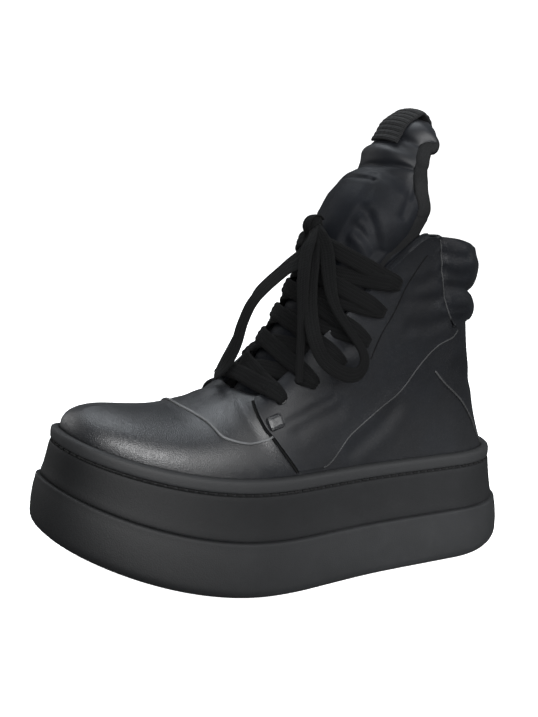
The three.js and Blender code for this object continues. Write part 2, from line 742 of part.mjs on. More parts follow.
const sliderPlace = zipPlace(SLIDER.along);
const sliderOut = lastNormal(INNER, sliderPlace.angle, sliderPlace.height).setZ(0).normalize();
const sliderUp = new THREE.Vector3(0, 0, 1);
const sliderAxis = sliderOut.clone().cross(sliderUp).normalize();
const sliderFrame = new THREE.Matrix4()
  .makeBasis(sliderAxis, sliderUp.clone().negate(), sliderOut)
  .setPosition(lastPoint(INNER, sliderPlace.angle, sliderPlace.height));

const boxAt = (wide, tall, deep, x, y, z) => new THREE.BoxGeometry(wide, tall, deep).translate(x, y, z);
const pinAt = (radius, long, sides) =>
  new THREE.CylinderGeometry(radius, radius, long, sides)
    .rotateZ(Math.PI / 2)
    .translate(0, -SLIDER.pinUp, SLIDER.pinOut);

function buildSlider() {
  const base = CHAIN.high + 1.3;
  const earX = PULL.eyeWide / 2 + 0.5 + SLIDER.ear / 2;
  const earDeep = SLIDER.pinOut + 1.8 - base;
  const parts = [
    boxAt(SLIDER.wide, SLIDER.tall, SLIDER.deep, 0, 0, base + SLIDER.deep / 2),
    ...[-1, 1].map((k) => boxAt(SLIDER.ear, 4.4, earDeep, k * earX, -SLIDER.pinUp, base + earDeep / 2)),
    pinAt(SLIDER.pin, 2 * earX, 12),
  ];
  return geometryOf(wasm.Manifold.union(parts.map(solidOf))).applyMatrix4(sliderFrame);
}

function buildPull() {
  const top = -SLIDER.pinUp;
  const plate = new THREE.Shape();
  const half = PULL.plateWide / 2;
  plate.moveTo(-half, 0);
  plate.lineTo(half, 0);
  plate.lineTo(half, PULL.plateLong - half);
  plate.absarc(0, PULL.plateLong - half, half, 0, Math.PI, false);
  plate.holes.push(new THREE.Path().absarc(0, PULL.plateLong - half, PULL.endHole, 0, 2 * Math.PI, true));
  const plateSolid = new THREE.ExtrudeGeometry(plate, { depth: PULL.thick, bevelEnabled: false, curveSegments: 8 });
  plateSolid.translate(0, top + PULL.neck, SLIDER.pinOut - PULL.thick / 2);
  const neck = boxAt(2.4, PULL.neck, PULL.thick, 0, top + PULL.neck / 2 + 1.2, SLIDER.pinOut);
  const body = wasm.Manifold.union([solidOf(pinAt(PULL.eye, PULL.eyeWide, 14)), solidOf(neck), solidOf(plateSolid)]);
  const hole = solidOf(pinAt(PULL.hole, PULL.eyeWide + 4, 12));
  return geometryOf(body.subtract(hole)).applyMatrix4(sliderFrame);
}

const colour = (hex, roughness, metalness = 0) =>
  new THREE.MeshStandardMaterial({ color: hex, roughness, metalness });
const leather = () => colour(0x1b1c1e, 0.45);
const rubber = () => colour(0x2b2c2e, 0.7);
const cotton = () => colour(0x0e0f10, 0.95);
const metal = () => colour(0x8d8f90, 0.35, 1);

const shoe = new THREE.Group();
shoe.name = "platform_high_top";
function add(name, geometry, material) {
  const mesh = new THREE.Mesh(geometry, material);
  mesh.name = name;
  shoe.add(mesh);
}

add("outsole", outsole, rubber());
add("midsole", midsole, rubber());
add("insole", insole, colour(0x1a1a1a, 0.9));
add("upper", geometryOf(upperSolid), leather());
add("quarter_outer", quarter(OUTER), leather());
add("quarter_inner", quarter(INNER), leather());
add("tongue", buildTongue(), leather());
add("pull_loop", buildLoop(), cotton());
add("lace_crossings", buildCrossings(), cotton());
add("lace_knot", buildKnot(), cotton());
Object.entries(BOW_PATHS).forEach(([name, places]) => add(name, bowCord(places), cotton()));
add("zip_chain", buildChain(), metal());
add("zip_slider", buildSlider(), metal());
add("zip_pull", buildPull(), metal());

export default shoe;
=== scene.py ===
# %% [markdown]
# # A platform high-top sneaker, piece by piece
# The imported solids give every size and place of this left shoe. Pieces could be modelled from nothing,
# but then they would drift from the solids, so each piece below is laid on the same curves that shaped
# them, only finer, and gets the seams, folds and finishes that a solid leaves out. Lengths in the
# tables are millimetres: +X points to the toe, +Y to the outer side of the foot, +Z up.

# %% The frame
import math

import bpy
import numpy as np
from mathutils import Matrix, Vector


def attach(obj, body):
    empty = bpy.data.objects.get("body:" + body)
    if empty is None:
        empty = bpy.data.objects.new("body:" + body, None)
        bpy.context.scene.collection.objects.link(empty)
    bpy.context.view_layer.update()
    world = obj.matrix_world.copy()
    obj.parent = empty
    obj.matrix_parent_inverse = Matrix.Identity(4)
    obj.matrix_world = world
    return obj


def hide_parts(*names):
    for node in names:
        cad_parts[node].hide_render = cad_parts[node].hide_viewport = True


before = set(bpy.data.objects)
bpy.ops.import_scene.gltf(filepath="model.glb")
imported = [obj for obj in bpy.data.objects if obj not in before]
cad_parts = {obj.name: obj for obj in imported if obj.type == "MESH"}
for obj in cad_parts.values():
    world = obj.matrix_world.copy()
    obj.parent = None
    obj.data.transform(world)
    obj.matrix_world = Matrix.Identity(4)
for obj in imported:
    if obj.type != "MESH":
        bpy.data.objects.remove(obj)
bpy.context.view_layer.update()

MM = 0.001
OUTER = 1
INNER = -1

# %% [markdown]
# The camera stands where the photo was taken from, low and in front of the outer side, and is turned to
# the one shoe. It could be moved closer to fill the picture, but a camera that keeps its place keeps
# the perspective; turning it or changing its lens only frames the view again. It leans a few degrees,
# as a camera held by hand does.

# %% Camera
EYE = Vector((0.3571, 0.5423, 0.2571))
AIM = Vector((0.031, 0.020, 0.128))
LEAN = math.radians(4.3)
LENS = 56.5

bpy.ops.object.camera_add(location=EYE)
camera = bpy.context.object
look = (AIM - EYE).to_track_quat("-Z", "Y").to_matrix()
camera.rotation_euler = (look @ Matrix.Rotation(LEAN, 3, "Z")).to_euler()
camera.data.sensor_width = 36
camera.data.lens = LENS
camera.data.clip_start = 0.01
bpy.context.scene.camera = camera
print("camera", round((AIM - EYE).length, 3), "m away")

# %% [markdown]
# Curves through tables stand for a pattern cutter's paper: a few measured places, and a smooth line
# between them that never overshoots. Curve objects could do this too, but functions on whole arrays
# place every vertex of a piece in one call.

# %% Curves
STEPS_BETWEEN = 12
TINY = 1e-9


def smooth(start, end, value):
    t = np.clip((value - start) / (end - start), 0, 1)
    return t * t * (3 - 2 * t)


def blend(first, second, share):
    return first + (second - first) * share


def through_table(rows, along, column):
    x = np.array([row[along] for row in rows], float)
    y = np.array([row[column] for row in rows], float)
    slope = np.diff(y) / np.diff(x)
    before, after = slope[:-1], slope[1:]
    same_way = before * after > 0
    middle = np.where(same_way, 2 * before * after / np.where(same_way, before + after, 1), 0)
    tangent = np.concatenate([slope[:1], middle, slope[-1:]])

    def curve(value):
        i = np.clip(np.searchsorted(x, value, side="right") - 1, 0, len(slope) - 1)
        step = x[i + 1] - x[i]
        t = np.clip((value - x[i]) / step, 0, 1)
        rest = 1 - t
        ends = y[i] * rest**2 * (1 + 2 * t) + y[i + 1] * t**2 * (3 - 2 * t)
        return ends + step * t * rest * (tangent[i] * rest - tangent[i + 1] * t)

    return curve


def unit(vectors):
    return vectors / np.maximum(np.linalg.norm(vectors, axis=-1, keepdims=True), TINY)


def squared_off(wave, power):
    """A power that keeps the sign of a wave; below 1 it makes a round section squarer."""
    return np.sign(wave) * np.abs(wave) ** power


def travelled(points):
    """How far along a line each of its points lies."""
    return np.concatenate([[0], np.cumsum(np.linalg.norm(np.diff(points, axis=0), axis=1))])


def length_of(points):
    return float(travelled(points)[-1])


def catmull(points, count):
    """Evenly spaced points on a smooth line through the points given."""
    p = np.array(points, float)
    p = np.vstack([2 * p[0] - p[1], p, 2 * p[-1] - p[-2]])
    t = np.linspace(0, 1, STEPS_BETWEEN, endpoint=False)[:, None]
    parts = []
    for a, b, c, d in zip(p, p[1:], p[2:], p[3:]):
        second = 2 * a - 5 * b + 4 * c - d
        third = 3 * b - a - 3 * c + d
        parts.append(0.5 * (2 * b + (c - a) * t + second * t**2 + third * t**3))
    line = np.vstack(parts + [p[-2:-1]])
    gone = travelled(line)
    even = np.linspace(0, gone[-1], count)
    return np.stack([np.interp(even, gone, line[:, k]) for k in range(p.shape[1])], -1)


# %% [markdown]
# The sole's plan and heights come first, because the whole shoe stands on them. The plan could be
# traced vertex by vertex; a half width along the shoe, rounded off at both ends, needs only a few
# numbers and gives the same line to every piece. The toe springs up from the floor, and the heel is
# bevelled a little.

# %% Plan and heights of the sole
HALF_LENGTH = 150
TOE_STATION, TOE_ROUND, TOE_EASE = 50, 2.35, 9
HEEL_STATION, HEEL_ROUND = -95, 2.3
PLAN = [(HEEL_STATION, 45.0, 43.5), (-40, 46.5, 42.5), (5, 51.0, 47.0), (TOE_STATION, 57.5, 56.4)]
TOE_INWARD = 5
SPRING_START = 10
STEP_HEIGHT, RIM_HEIGHT, CUP_DEPTH = 32, 66, 8
SPRING = {"bottom": 31, "step": 29.5, "rim": 25}
HEEL_BEVEL = 5
outer_width = through_table(PLAN, 0, 1)
inner_width = through_table(PLAN, 0, 2)


def spring_share(x):
    return np.maximum(0, (x - SPRING_START) / (HALF_LENGTH - SPRING_START)) ** 2


def inward(x):
    return -TOE_INWARD * spring_share(x)


def bottom_at(x):
    bevel = HEEL_BEVEL * np.maximum(0, (HEEL_STATION - x) / (HALF_LENGTH + HEEL_STATION)) ** 2
    return SPRING["bottom"] * spring_share(x) + bevel


def step_at(x):
    return STEP_HEIGHT + SPRING["step"] * spring_share(x)


def rim_at(x):
    return RIM_HEIGHT + SPRING["rim"] * spring_share(x)


def half_width(side, x):
    eased = TOE_STATION - TOE_EASE * np.logaddexp(0, (TOE_STATION - x) / TOE_EASE)
    inside = np.maximum(eased, HEEL_STATION)
    wide = np.where(side > 0, outer_width(inside), inner_width(inside))
    toe = np.clip((x - TOE_STATION) / (HALF_LENGTH - TOE_STATION), 0, 1)
    heel = np.clip((HEEL_STATION - x) / (HALF_LENGTH + HEEL_STATION), 0, 1)
    rounded = (1 - toe**TOE_ROUND) ** (1 / TOE_ROUND) * (1 - heel**HEEL_ROUND) ** (1 / HEEL_ROUND)
    return wide * rounded


def plan_point(side, angle):
    x = HALF_LENGTH * np.cos(angle)
    return np.stack([x, inward(x) + side * half_width(side, x)], -1)


def plan_out(side, angle):
    near, far = 0.015, 0.02
    run = plan_point(side, angle + near) - plan_point(side, angle - near)
    out = unit(np.stack([run[..., 1], -run[..., 0]], -1) * np.asarray(side)[..., None])
    out = np.where((angle < far)[..., None], (1.0, 0.0), out)
    return np.where((angle > math.pi - far)[..., None], (-1.0, 0.0), out)


def round_the_shoe(u):
    """From the toe down the outer side to the heel, then back along the inner side."""
    side = np.where(u <= 0.5, OUTER, INNER)
    return side, np.where(u <= 0.5, 2 * math.pi * u, 2 * math.pi * (1 - u))


print("plan", 2 * HALF_LENGTH, "mm long, rim", RIM_HEIGHT, "mm up")

# %% [markdown]
# A shoe's upper is pulled over a last, so the last is the one function that every leather piece asks
# for its place. A sculpted last would look right too, but no second piece could follow it. Each column
# leaves the sole, arches over and ends at the ridge, the throat or the collar.

# %% The last
LAST = [
    (140, 122, 0, 101, 0.9, 0, 0), (120, 113, 0, 100.3, 0.85, 0, 0), (80, 82, 0, 97.3, 0.85, 0, 0),
    (48, 60, 0, 101.5, 0.9, 6, 0), (30, 43, 0, 107, 1.0, 12, 0), (22, 38, 18, 107, 1.0, 12, 0),
    (2, 18, 24.5, 121, 1.05, 7, 0), (-16, 2, 26.5, 139, 1.15, 3, 0.5), (-32, -16, 30, 158, 1.25, 0, 1.5),
    (-46, -34, 35, 179, 1.4, 0, 2.5), (-62, -58, 39.5, 200, 1.5, 0, 3.5), (-90, -77, 38.5, 199, 1.65, 0, 4),
    (-122, -102, 27, 194, 1.8, 0, 7), (-140, -114, 0, 190, 1.9, 0, 9.5),
]
FEATHER_INSET = 10
RIDGE_FOOT, RIDGE_SLACK = 30, 1e-6
STEEP_FROM, STEEP_TO = -20, -60
ROLLS = [(0, 29, 7.0), (29, 48, 5.5)]
ROLL_SEAM = [(145, -89), (155, -82), (165.5, -77.5), (183, -72), (199, -67)]
ROLL_EDGE, ROLL_FULL = 4, 26
EDGE_SHARE = 0.35


def angle_of(foot_x):
    return np.arccos(np.clip(np.asarray(foot_x, float) / (HALF_LENGTH - FEATHER_INSET), -1, 1))


last_rows = [(float(angle_of(row[0])), *row[1:]) for row in LAST]
top_x, top_y, top_z, arch, bow, waist = (through_table(last_rows, 0, k) for k in range(1, 7))
RIDGE_END = float(angle_of(RIDGE_FOOT)) + RIDGE_SLACK
roll_seam = through_table(ROLL_SEAM, 0, 1)


def roll_out(x, z, edge_z):
    seam_x = roll_seam(z)
    behind = blend(smooth(seam_x, seam_x - ROLL_FULL, x), smooth(seam_x, seam_x - ROLL_EDGE, x), EDGE_SHARE)
    out = 0
    for start, end, far in ROLLS:
        t = np.clip((edge_z - z - start) / (end - start), 0, 1)
        out = out + behind * far * np.sin(math.pi * t) ** 0.5
    return out


def last_point(side, angle, height, padded=True):
    side, angle, height = np.broadcast_arrays(side, np.asarray(angle, float), np.asarray(height, float))
    out = plan_out(side, angle)
    foot = plan_point(side, angle) - FEATHER_INSET * out
    end_x = top_x(angle)
    end_y = inward(end_x) + np.where(angle <= RIDGE_END, 0, side * top_y(angle))
    share = np.clip(height, 0, 1)
    turn = share * math.pi / 2
    rise = np.sin(turn) ** arch(angle)
    lean = 1 - np.maximum(np.cos(turn), 0) ** arch(angle)
    arc = np.abs(np.sin(math.pi * share))
    z = blend(rim_at(foot[..., 0]), top_z(angle), rise)
    x = blend(foot[..., 0], end_x, lean) + bow(angle) * arc
    y = blend(foot[..., 1], end_y, lean)
    stand = -waist(angle) * arc**1.4
    if padded:
        stand = stand + roll_out(x, z, top_z(angle))
    return np.stack([x + out[..., 0] * stand, y + out[..., 1] * stand, z], -1)


def last_normal(side, angle, height):
    near = 0.02
    h = np.clip(height, near, 1 - near)
    a = np.clip(angle, near, math.pi - near)
    along = last_point(side, a + near, h, False) - last_point(side, a - near, h, False)
    up = last_point(side, a, h + near, False) - last_point(side, a, h - near, False)
    return unit(np.cross(along, up) * np.asarray(side)[..., None])


def row_height(angle, t):
    """Spreads the rows evenly up the steep columns behind the throat."""
    even = 2 / math.pi * np.arcsin(np.clip(t ** (1 / arch(angle)), 0, 1))
    return blend(t, even, smooth(float(angle_of(STEEP_FROM)), float(angle_of(STEEP_TO)), angle))


print("collar", [round(float(c), 1) for c in last_point(OUTER, angle_of(-90.0), 1.0)])

# %% [markdown]
# The tongue is a curled pad. A place on it is a step along its length, a turn round its curl and a lift
# off its front. It could be a bent flat sheet, but the laces lie on the tongue, and with these three
# numbers they can say where.

# %% The tongue's curl
TONGUE = [
    (42, 99, 22, 50, 5, 0), (24, 123, 25, 60, 7, 0), (7, 150, 26.5, 68, 9, 0), (-4, 174, 29.5, 75, 10, 0),
    (-12.5, 201, 33, 82, 11, 0), (-22.5, 218, 36, 84, 12, 1), (-33, 231, 36.5, 74, 11, 0.5),
    (-39.5, 238, 37, 70, 8, -2.5), (-44, 246, 37, 69, 11, 0.5), (-49, 252.5, 37, 67, 9, -1.5),
    (-57, 261, 37, 60, 12, 1), (-66, 268, 36, 44, 8, 0),
]
TONGUE_END = len(TONGUE) - 1
HALVINGS = 30
tongue_rows = [(step, *row) for step, row in enumerate(TONGUE)]
tongue_x, tongue_z, tongue_radius, tongue_reach, tongue_thick, tongue_roll = (
    through_table(tongue_rows, 0, k) for k in range(1, 7)
)


def tongue_frame(step):
    near = 0.02
    at = np.clip(step, near, TONGUE_END - near)
    run_x = tongue_x(at + near) - tongue_x(at - near)
    run_z = tongue_z(at + near) - tongue_z(at - near)
    none = np.zeros_like(run_x)
    along = unit(np.stack([run_x, none, run_z], -1))
    front = np.stack([along[..., 2], none, -along[..., 0]], -1)
    centre = np.stack([tongue_x(step), inward(tongue_x(step)), tongue_z(step)], -1)
    return centre, along, front


def tongue_point(step, turn, lift):
    step, turn, lift = np.broadcast_arrays(np.asarray(step, float), np.asarray(turn, float), lift)
    centre, _, front = tongue_frame(step)
    radius = tongue_radius(step)
    far = radius + lift
    ahead = front * (far * np.cos(turn) - radius)[..., None]
    return centre + ahead + np.stack([0 * far, far * np.sin(turn), 0 * far], -1)


def beside_tongue(points):
    """Step, turn and lift of places in space, by halving the tongue's length again and again."""
    low = np.zeros(len(points))
    high = np.full(len(points), float(TONGUE_END))
    for _ in range(HALVINGS):
        middle = (low + high) / 2
        centre, along, _ = tongue_frame(middle)
        above = np.sum((points - centre) * along, -1) > 0
        low, high = np.where(above, middle, low), np.where(above, high, middle)
    centre, _, front = tongue_frame(low)
    away = points - centre
    ahead = np.sum(away * front, -1) + tongue_radius(low)
    return low, np.arctan2(away[:, 1], ahead), np.hypot(away[:, 1], ahead) - tongue_radius(low)


def facing_at(step, turn):
    return unit(tongue_point(step, turn, 1.0) - tongue_point(step, turn, 0.0))


print("tongue", TONGUE[-1][1] - TONGUE[0][1], "mm tall")

# %% [markdown]
# A finish is a small network of nodes. Wiring each node by hand hides the idea, so one class wraps a
# socket: plain arithmetic on it adds the Math nodes, and one method adds any other node from its type,
# settings and inputs.

# %% Node arithmetic
class Wire:
    """An output socket in a material, on which arithmetic adds Math nodes."""

    def __init__(self, tree, socket=None):
        self.tree = tree
        self.socket = socket

    def node(self, kind, settings=None, inputs=None, output=0):
        made = self.tree.nodes.new(kind)
        for name, value in (settings or {}).items():
            setattr(made, name, value)
        for name, value in (inputs or {}).items():
            if isinstance(value, Wire):
                self.tree.links.new(value.socket, made.inputs[name])
            else:
                made.inputs[name].default_value = value
        return Wire(self.tree, made.outputs[output] if made.outputs else None)

    def maths(self, operation, first, second=0.0):
        return self.node("ShaderNodeMath", {"operation": operation}, {0: first, 1: second})

    def __add__(self, other):
        return self.maths("ADD", self, other)

    def __rsub__(self, other):
        return self.maths("SUBTRACT", other, self)

    def __mul__(self, other):
        return self.maths("MULTIPLY", self, other)

    __radd__ = __add__
    __rmul__ = __mul__


def noise(wire, place, scale, detail=3.0, rough=0.5):
    inputs = {"Vector": place, "Scale": scale, "Detail": detail, "Roughness": rough}
    return wire.node("ShaderNodeTexNoise", {}, inputs, "Fac")


def stepped(wire, value, start, end):
    inputs = {"Value": value, "From Min": start, "From Max": end}
    return wire.node("ShaderNodeMapRange", {"interpolation_type": "SMOOTHSTEP"}, inputs)


def tint(wire, share, first, second):
    inputs = {0: share, 6: (*first, 1), 7: (*second, 1)}
    return wire.node("ShaderNodeMix", {"data_type": "RGBA"}, inputs, 2)


def bump(wire, height, distance):
    return wire.node("ShaderNodeBump", {}, {"Strength": 1.0, "Distance": distance, "Height": height})


def new_finish(name):
    material = bpy.data.materials.new(name)
    material.use_nodes = True
    material.node_tree.nodes.clear()
    return material, Wire(material.node_tree)


def close_finish(wire, inputs):
    shader = wire.node("ShaderNodeBsdfPrincipled", {}, inputs)
    wire.node("ShaderNodeOutputMaterial", {}, {"Surface": shader})


# %% [markdown]
# Black calf leather is never one black. It has a fine pebbled grain, softer pores, and broad polished patches
# where it was lasted tight. A picture could carry all this, but nodes stay sharp at any distance: a cell
# texture gives the pebbles, noise gives the patches, and roughness follows the patches. On the tongue and on
# the quarters a clear coat comes in with height as painted sheen. It paints light on the tongue's head and on
# the foot of the quarters, and leaves a duller face as painted shade above the foot and below the head.

# %% Leather
# Heights in metres over which the coat's painted sheen comes in: up to the tongue's head, and down to the
# foot of the quarters.
HEAD_PAINTED_SHEEN = (0.212, 0.262)
FOOT_PAINTED_SHEEN = (0.120, 0.075)


def leather(name, deep, worn, rough, grain, fold, gloss=0.5, painted_sheen=0.0, painted_sheen_heights=None):
    material, wire = new_finish(name)
    place = wire.node("ShaderNodeTexCoord", {}, {}, "Object")
    cells = {"Vector": place, "Scale": 1000.0, "Randomness": 1.0}
    pebble = wire.node("ShaderNodeTexVoronoi", {"feature": "DISTANCE_TO_EDGE"}, cells, "Distance")
    pores = noise(wire, place, 700.0, 2.0)
    patch = noise(wire, place, 26.0, 4.0, 0.6)
    crinkle = noise(wire, place, 190.0, 5.0, 0.6)
    height = stepped(wire, pebble, 0.0, 0.35) * grain + pores * (0.4 * grain) + crinkle * fold
    shine = stepped(wire, patch, 0.35, 0.68)
    inputs = {
        "Base Color": tint(wire, shine * 0.6 + crinkle * 0.4, deep, worn),
        "Roughness": rough + 0.16 * (1 - shine) + 0.08 * pores,
        "Normal": bump(wire, height, 0.00015),
        "Specular IOR Level": gloss,
    }
    # Painted sheen: a clear coat that comes in with height paints light where it is full and painted shade
    # where it is gone.
    if painted_sheen:
        up = wire.node("ShaderNodeSeparateXYZ", {}, {0: place}, 2)
        inputs["Coat Weight"] = painted_sheen * stepped(wire, up, *painted_sheen_heights)
        inputs["Coat Roughness"] = rough + 0.1
    close_finish(wire, inputs)
    return material


calf = leather("calf_leather", (0.0016, 0.0018, 0.0023), (0.0040, 0.0045, 0.0057), 0.31, 0.5, 1.0)
soft_calf = leather(
    "soft_calf_leather", (0.0018, 0.0021, 0.0028), (0.0042, 0.0048, 0.0064), 0.42, 0.3, 0.9, 0.06,
    0.44, HEAD_PAINTED_SHEEN,
)
quarter_calf = leather(
    "quarter_calf_leather", (0.0022, 0.0024, 0.0030), (0.0060, 0.0066, 0.0080), 0.36, 0.5, 1.6, 0.14,
    0.44, FOOT_PAINTED_SHEEN,
)
raw_edge = leather("raw_leather_edge", (0.024, 0.025, 0.026), (0.075, 0.077, 0.080), 0.62, 0.8, 0.5)
dull_edge = leather("dull_leather_edge", (0.008, 0.0083, 0.0087), (0.027, 0.0278, 0.029), 0.62, 0.8, 0.5, 0.3)
soft_edge = leather("soft_binding", (0.0016, 0.0017, 0.0019), (0.0036, 0.0038, 0.0042), 0.75, 0.8, 1.0, 0.15)
# Painted shadow: a near-black matte finish for cords that stand for the shade in folded edges.
painted_fold_shadow = leather("shaded_fold", (0.0010, 0.0010, 0.0011), (0.0018, 0.0018, 0.0019), 0.85, 0.2, 0.5, 0.1)

# %% [markdown]
# The sole is matte moulded rubber, a shade lighter than the leather. One flat grey would look like plastic,
# so fine speckle breaks its face, and dust makes soft paler clouds. On top of the dust, the rubber is painted
# darker at the toe and paler towards the heel, as painted shade. The wall and its bead are the same rubber
# with less dust.

# %% Rubber
# X in metres over which the painted shade at the toe fades out towards the heel.
PAINTED_TOE_SHADE_FROM, PAINTED_TOE_SHADE_TO = 0.15, -0.08


def rubber(name, deep, dusty_and_lit_tone, gloss):
    material, wire = new_finish(name)
    place = wire.node("ShaderNodeTexCoord", {}, {}, "Object")
    speckle = noise(wire, place, 1400.0, 2.0)
    cloud = noise(wire, place, 18.0, 5.0, 0.62)
    rubbed = noise(wire, place, 130.0, 4.0, 0.6)
    # Painted shade: 0 at the toe, where the dark tone stays, rising to 1 towards the heel, where the paler
    # tone comes in.
    painted_light_to_heel = stepped(wire, wire.node("ShaderNodeSeparateXYZ", {}, {0: place}, 0), PAINTED_TOE_SHADE_FROM, PAINTED_TOE_SHADE_TO)
    patchy = stepped(wire, cloud, 0.30, 0.70) * 0.6 + stepped(wire, rubbed, 0.45, 0.75) * 0.4
    dust_and_shade = (0.42 + 0.24 * patchy) * (0.2 + 0.8 * painted_light_to_heel)
    inputs = {
        "Base Color": tint(wire, dust_and_shade, deep, dusty_and_lit_tone),
        "Roughness": 0.60 + 0.14 * dust_and_shade + 0.06 * speckle,
        "Normal": bump(wire, speckle + 0.8 * rubbed, 0.00012),
        "Specular IOR Level": gloss,
    }
    close_finish(wire, inputs)
    return material


sole_rubber = rubber("sole_rubber", (0.0018, 0.0019, 0.0021), (0.0215, 0.0224, 0.0238), 0.18)
wall_rubber = rubber("wall_rubber", (0.0012, 0.0013, 0.0015), (0.0128, 0.0133, 0.0142), 0.15)
bead_rubber = rubber("bead_rubber", (0.0070, 0.0073, 0.0078), (0.0160, 0.0166, 0.0175), 0.22)

# %% [markdown]
# Laces, webbing and linings are woven. Each thread could be modelled, but threads are finer than a
# millimetre, so the weave is left to bump. Patterns follow the piece, so they read its UV map, which is
# kept in millimetres. A braid is two sets of slanted ribs that meet on the middle line; a plain weave
# is two crossed waves.

# %% Woven finishes
def woven(name, deep, light, pitch, slant, depth, gloss=0.15, sheen=0.02):
    material, wire = new_finish(name)
    flat = wire.node("ShaderNodeTexCoord", {}, {}, "UV")
    across = wire.node("ShaderNodeSeparateXYZ", {}, {0: flat}, 0)
    along = wire.node("ShaderNodeSeparateXYZ", {}, {0: flat}, 1)
    turns = 2 * math.pi / pitch
    rib = wire.maths("SINE", (along + slant * wire.maths("ABSOLUTE", across)) * turns)
    cross = wire.maths("SINE", (across * (1.0 if slant else 1.15)) * turns)
    fuzz = noise(wire, flat, 2.2 / pitch, 3.0, 0.65)
    height = rib * 0.5 + cross * 0.32 + fuzz * 0.9
    lit = stepped(wire, height, -0.35, 1.15)
    inputs = {
        "Base Color": tint(wire, lit, deep, light),
        "Roughness": 0.80 + 0.15 * fuzz,
        "Normal": bump(wire, height, depth),
        "Specular IOR Level": gloss,
        "Sheen Weight": sheen,
        "Sheen Roughness": 0.4,
    }
    close_finish(wire, inputs)
    return material


lace_cotton = woven(
    "lace_cotton", (0.0005, 0.0006, 0.0006), (0.0030, 0.0031, 0.0033), 1.0, 0.8, 0.00014, 0.07, 0.006
)
webbing = woven("ribbed_webbing", (0.0020, 0.0021, 0.0023), (0.0075, 0.0078, 0.0084), 1.1, 0.0, 0.00016)
lining = woven("sock_lining", (0.0060, 0.0061, 0.0063), (0.0130, 0.0132, 0.0136), 1.6, 0.0, 0.00016)
zip_tape = woven("zip_tape", (0.0040, 0.0041, 0.0042), (0.0110, 0.0112, 0.0115), 1.0, 1.0, 0.00018)

# %% [markdown]
# The zip is old silver: bright where fingers polish it, dark in the grain of the casting. Even metal
# would look new, so noise says where it is tarnished. Thread and enamel show little, and borrow the
# leather's network.

# %% Metal and thread
def old_silver(name):
    material, wire = new_finish(name)
    place = wire.node("ShaderNodeTexCoord", {}, {}, "Object")
    tarnish = stepped(wire, noise(wire, place, 420.0, 5.0, 0.62), 0.38, 0.66)
    cast = noise(wire, place, 1800.0, 2.0)
    inputs = {
        "Base Color": tint(wire, tarnish, (0.42, 0.415, 0.40), (0.20, 0.198, 0.192)),
        "Metallic": 1.0,
        "Roughness": 0.26 + 0.22 * tarnish,
        "Normal": bump(wire, cast, 0.00006),
    }
    close_finish(wire, inputs)
    return material


silver = old_silver("old_silver")
thread = leather("waxed_thread", (0.0014, 0.0014, 0.0015), (0.0032, 0.0032, 0.0034), 0.80, 0.2, 1.0, 0.2)
# Black enamel of the rings; in each dish's floor it is painted shade where the open hole would be.
enamel = leather("black_enamel", (0.0030, 0.0030, 0.0032), (0.0060, 0.0060, 0.0064), 0.34, 0.1, 0.3)
print("finishes", len(bpy.data.materials))

# %% [markdown]
# Most pieces are sheets: a grid primitive is added, each vertex is set on its curve, doubled seams are
# welded and open ends are filled. Faces could be listed one by one, but shaping a grid is how a flat
# cut piece becomes a shoe, and it keeps a UV map that follows the piece.

# %% Piece maker
WELD = 2e-6


def select_only(piece):
    bpy.ops.object.select_all(action="DESELECT")
    piece.select_set(True)
    bpy.context.view_layer.objects.active = piece


def wrapped(name, columns, rows, place, closed=True, size=(1.0, 1.0)):
    bpy.ops.object.select_all(action="DESELECT")
    bpy.ops.mesh.primitive_grid_add(x_subdivisions=columns, y_subdivisions=rows, size=1.0)
    piece = bpy.context.object
    piece.name = name
    mesh = piece.data
    mesh.name = name
    flat = np.empty(len(mesh.vertices) * 3)
    mesh.vertices.foreach_get("co", flat)
    u, v = flat.reshape(-1, 3)[:, :2].T + 0.5
    mesh.vertices.foreach_set("co", (place(u, v) * MM).ravel())
    uv = np.empty(len(mesh.loops) * 2)
    layer = mesh.uv_layers.active.data
    layer.foreach_get("uv", uv)
    uv = (uv.reshape(-1, 2) - (0.5, 0)) * size
    layer.foreach_set("uv", uv.ravel())
    bpy.ops.object.mode_set(mode="EDIT")
    bpy.ops.mesh.select_all(action="SELECT")
    bpy.ops.mesh.remove_doubles(threshold=WELD)
    bpy.ops.mesh.dissolve_degenerate(threshold=WELD)
    if closed:
        bpy.ops.mesh.select_all(action="SELECT")
        bpy.ops.mesh.fill_holes(sides=0)
        bpy.ops.mesh.select_all(action="SELECT")
        bpy.ops.mesh.normals_make_consistent(inside=False)
    bpy.ops.object.mode_set(mode="OBJECT")
    if not closed:
        face_out(piece)
    bpy.ops.object.shade_smooth()
    return piece


def face_out(piece):
    """Turns an open sheet on either side of the shoe so that its faces look away from the middle."""
    away = sum(face.normal.y * face.center.y * face.area for face in piece.data.polygons)
    if away < 0:
        bpy.ops.object.mode_set(mode="EDIT")
        bpy.ops.mesh.select_all(action="SELECT")
        bpy.ops.mesh.flip_normals()
        bpy.ops.object.mode_set(mode="OBJECT")


def modify(piece, kind, **settings):
    select_only(piece)
    modifier = piece.modifiers.new(kind.title(), kind)
    for name, value in settings.items():
        setattr(modifier, name, value)
    bpy.ops.object.modifier_apply(modifier=modifier.name)


def sharpen(piece, degrees):
    select_only(piece)
    bpy.ops.object.shade_smooth_by_angle(angle=math.radians(degrees))


def join(name, pieces):
    bpy.ops.object.select_all(action="DESELECT")
    for piece in pieces:
        piece.select_set(True)
    bpy.context.view_layer.objects.active = pieces[0]
    if len(pieces) > 1:
        bpy.ops.object.join()
    pieces[0].name = name
    pieces[0].data.name = name
    return pieces[0]


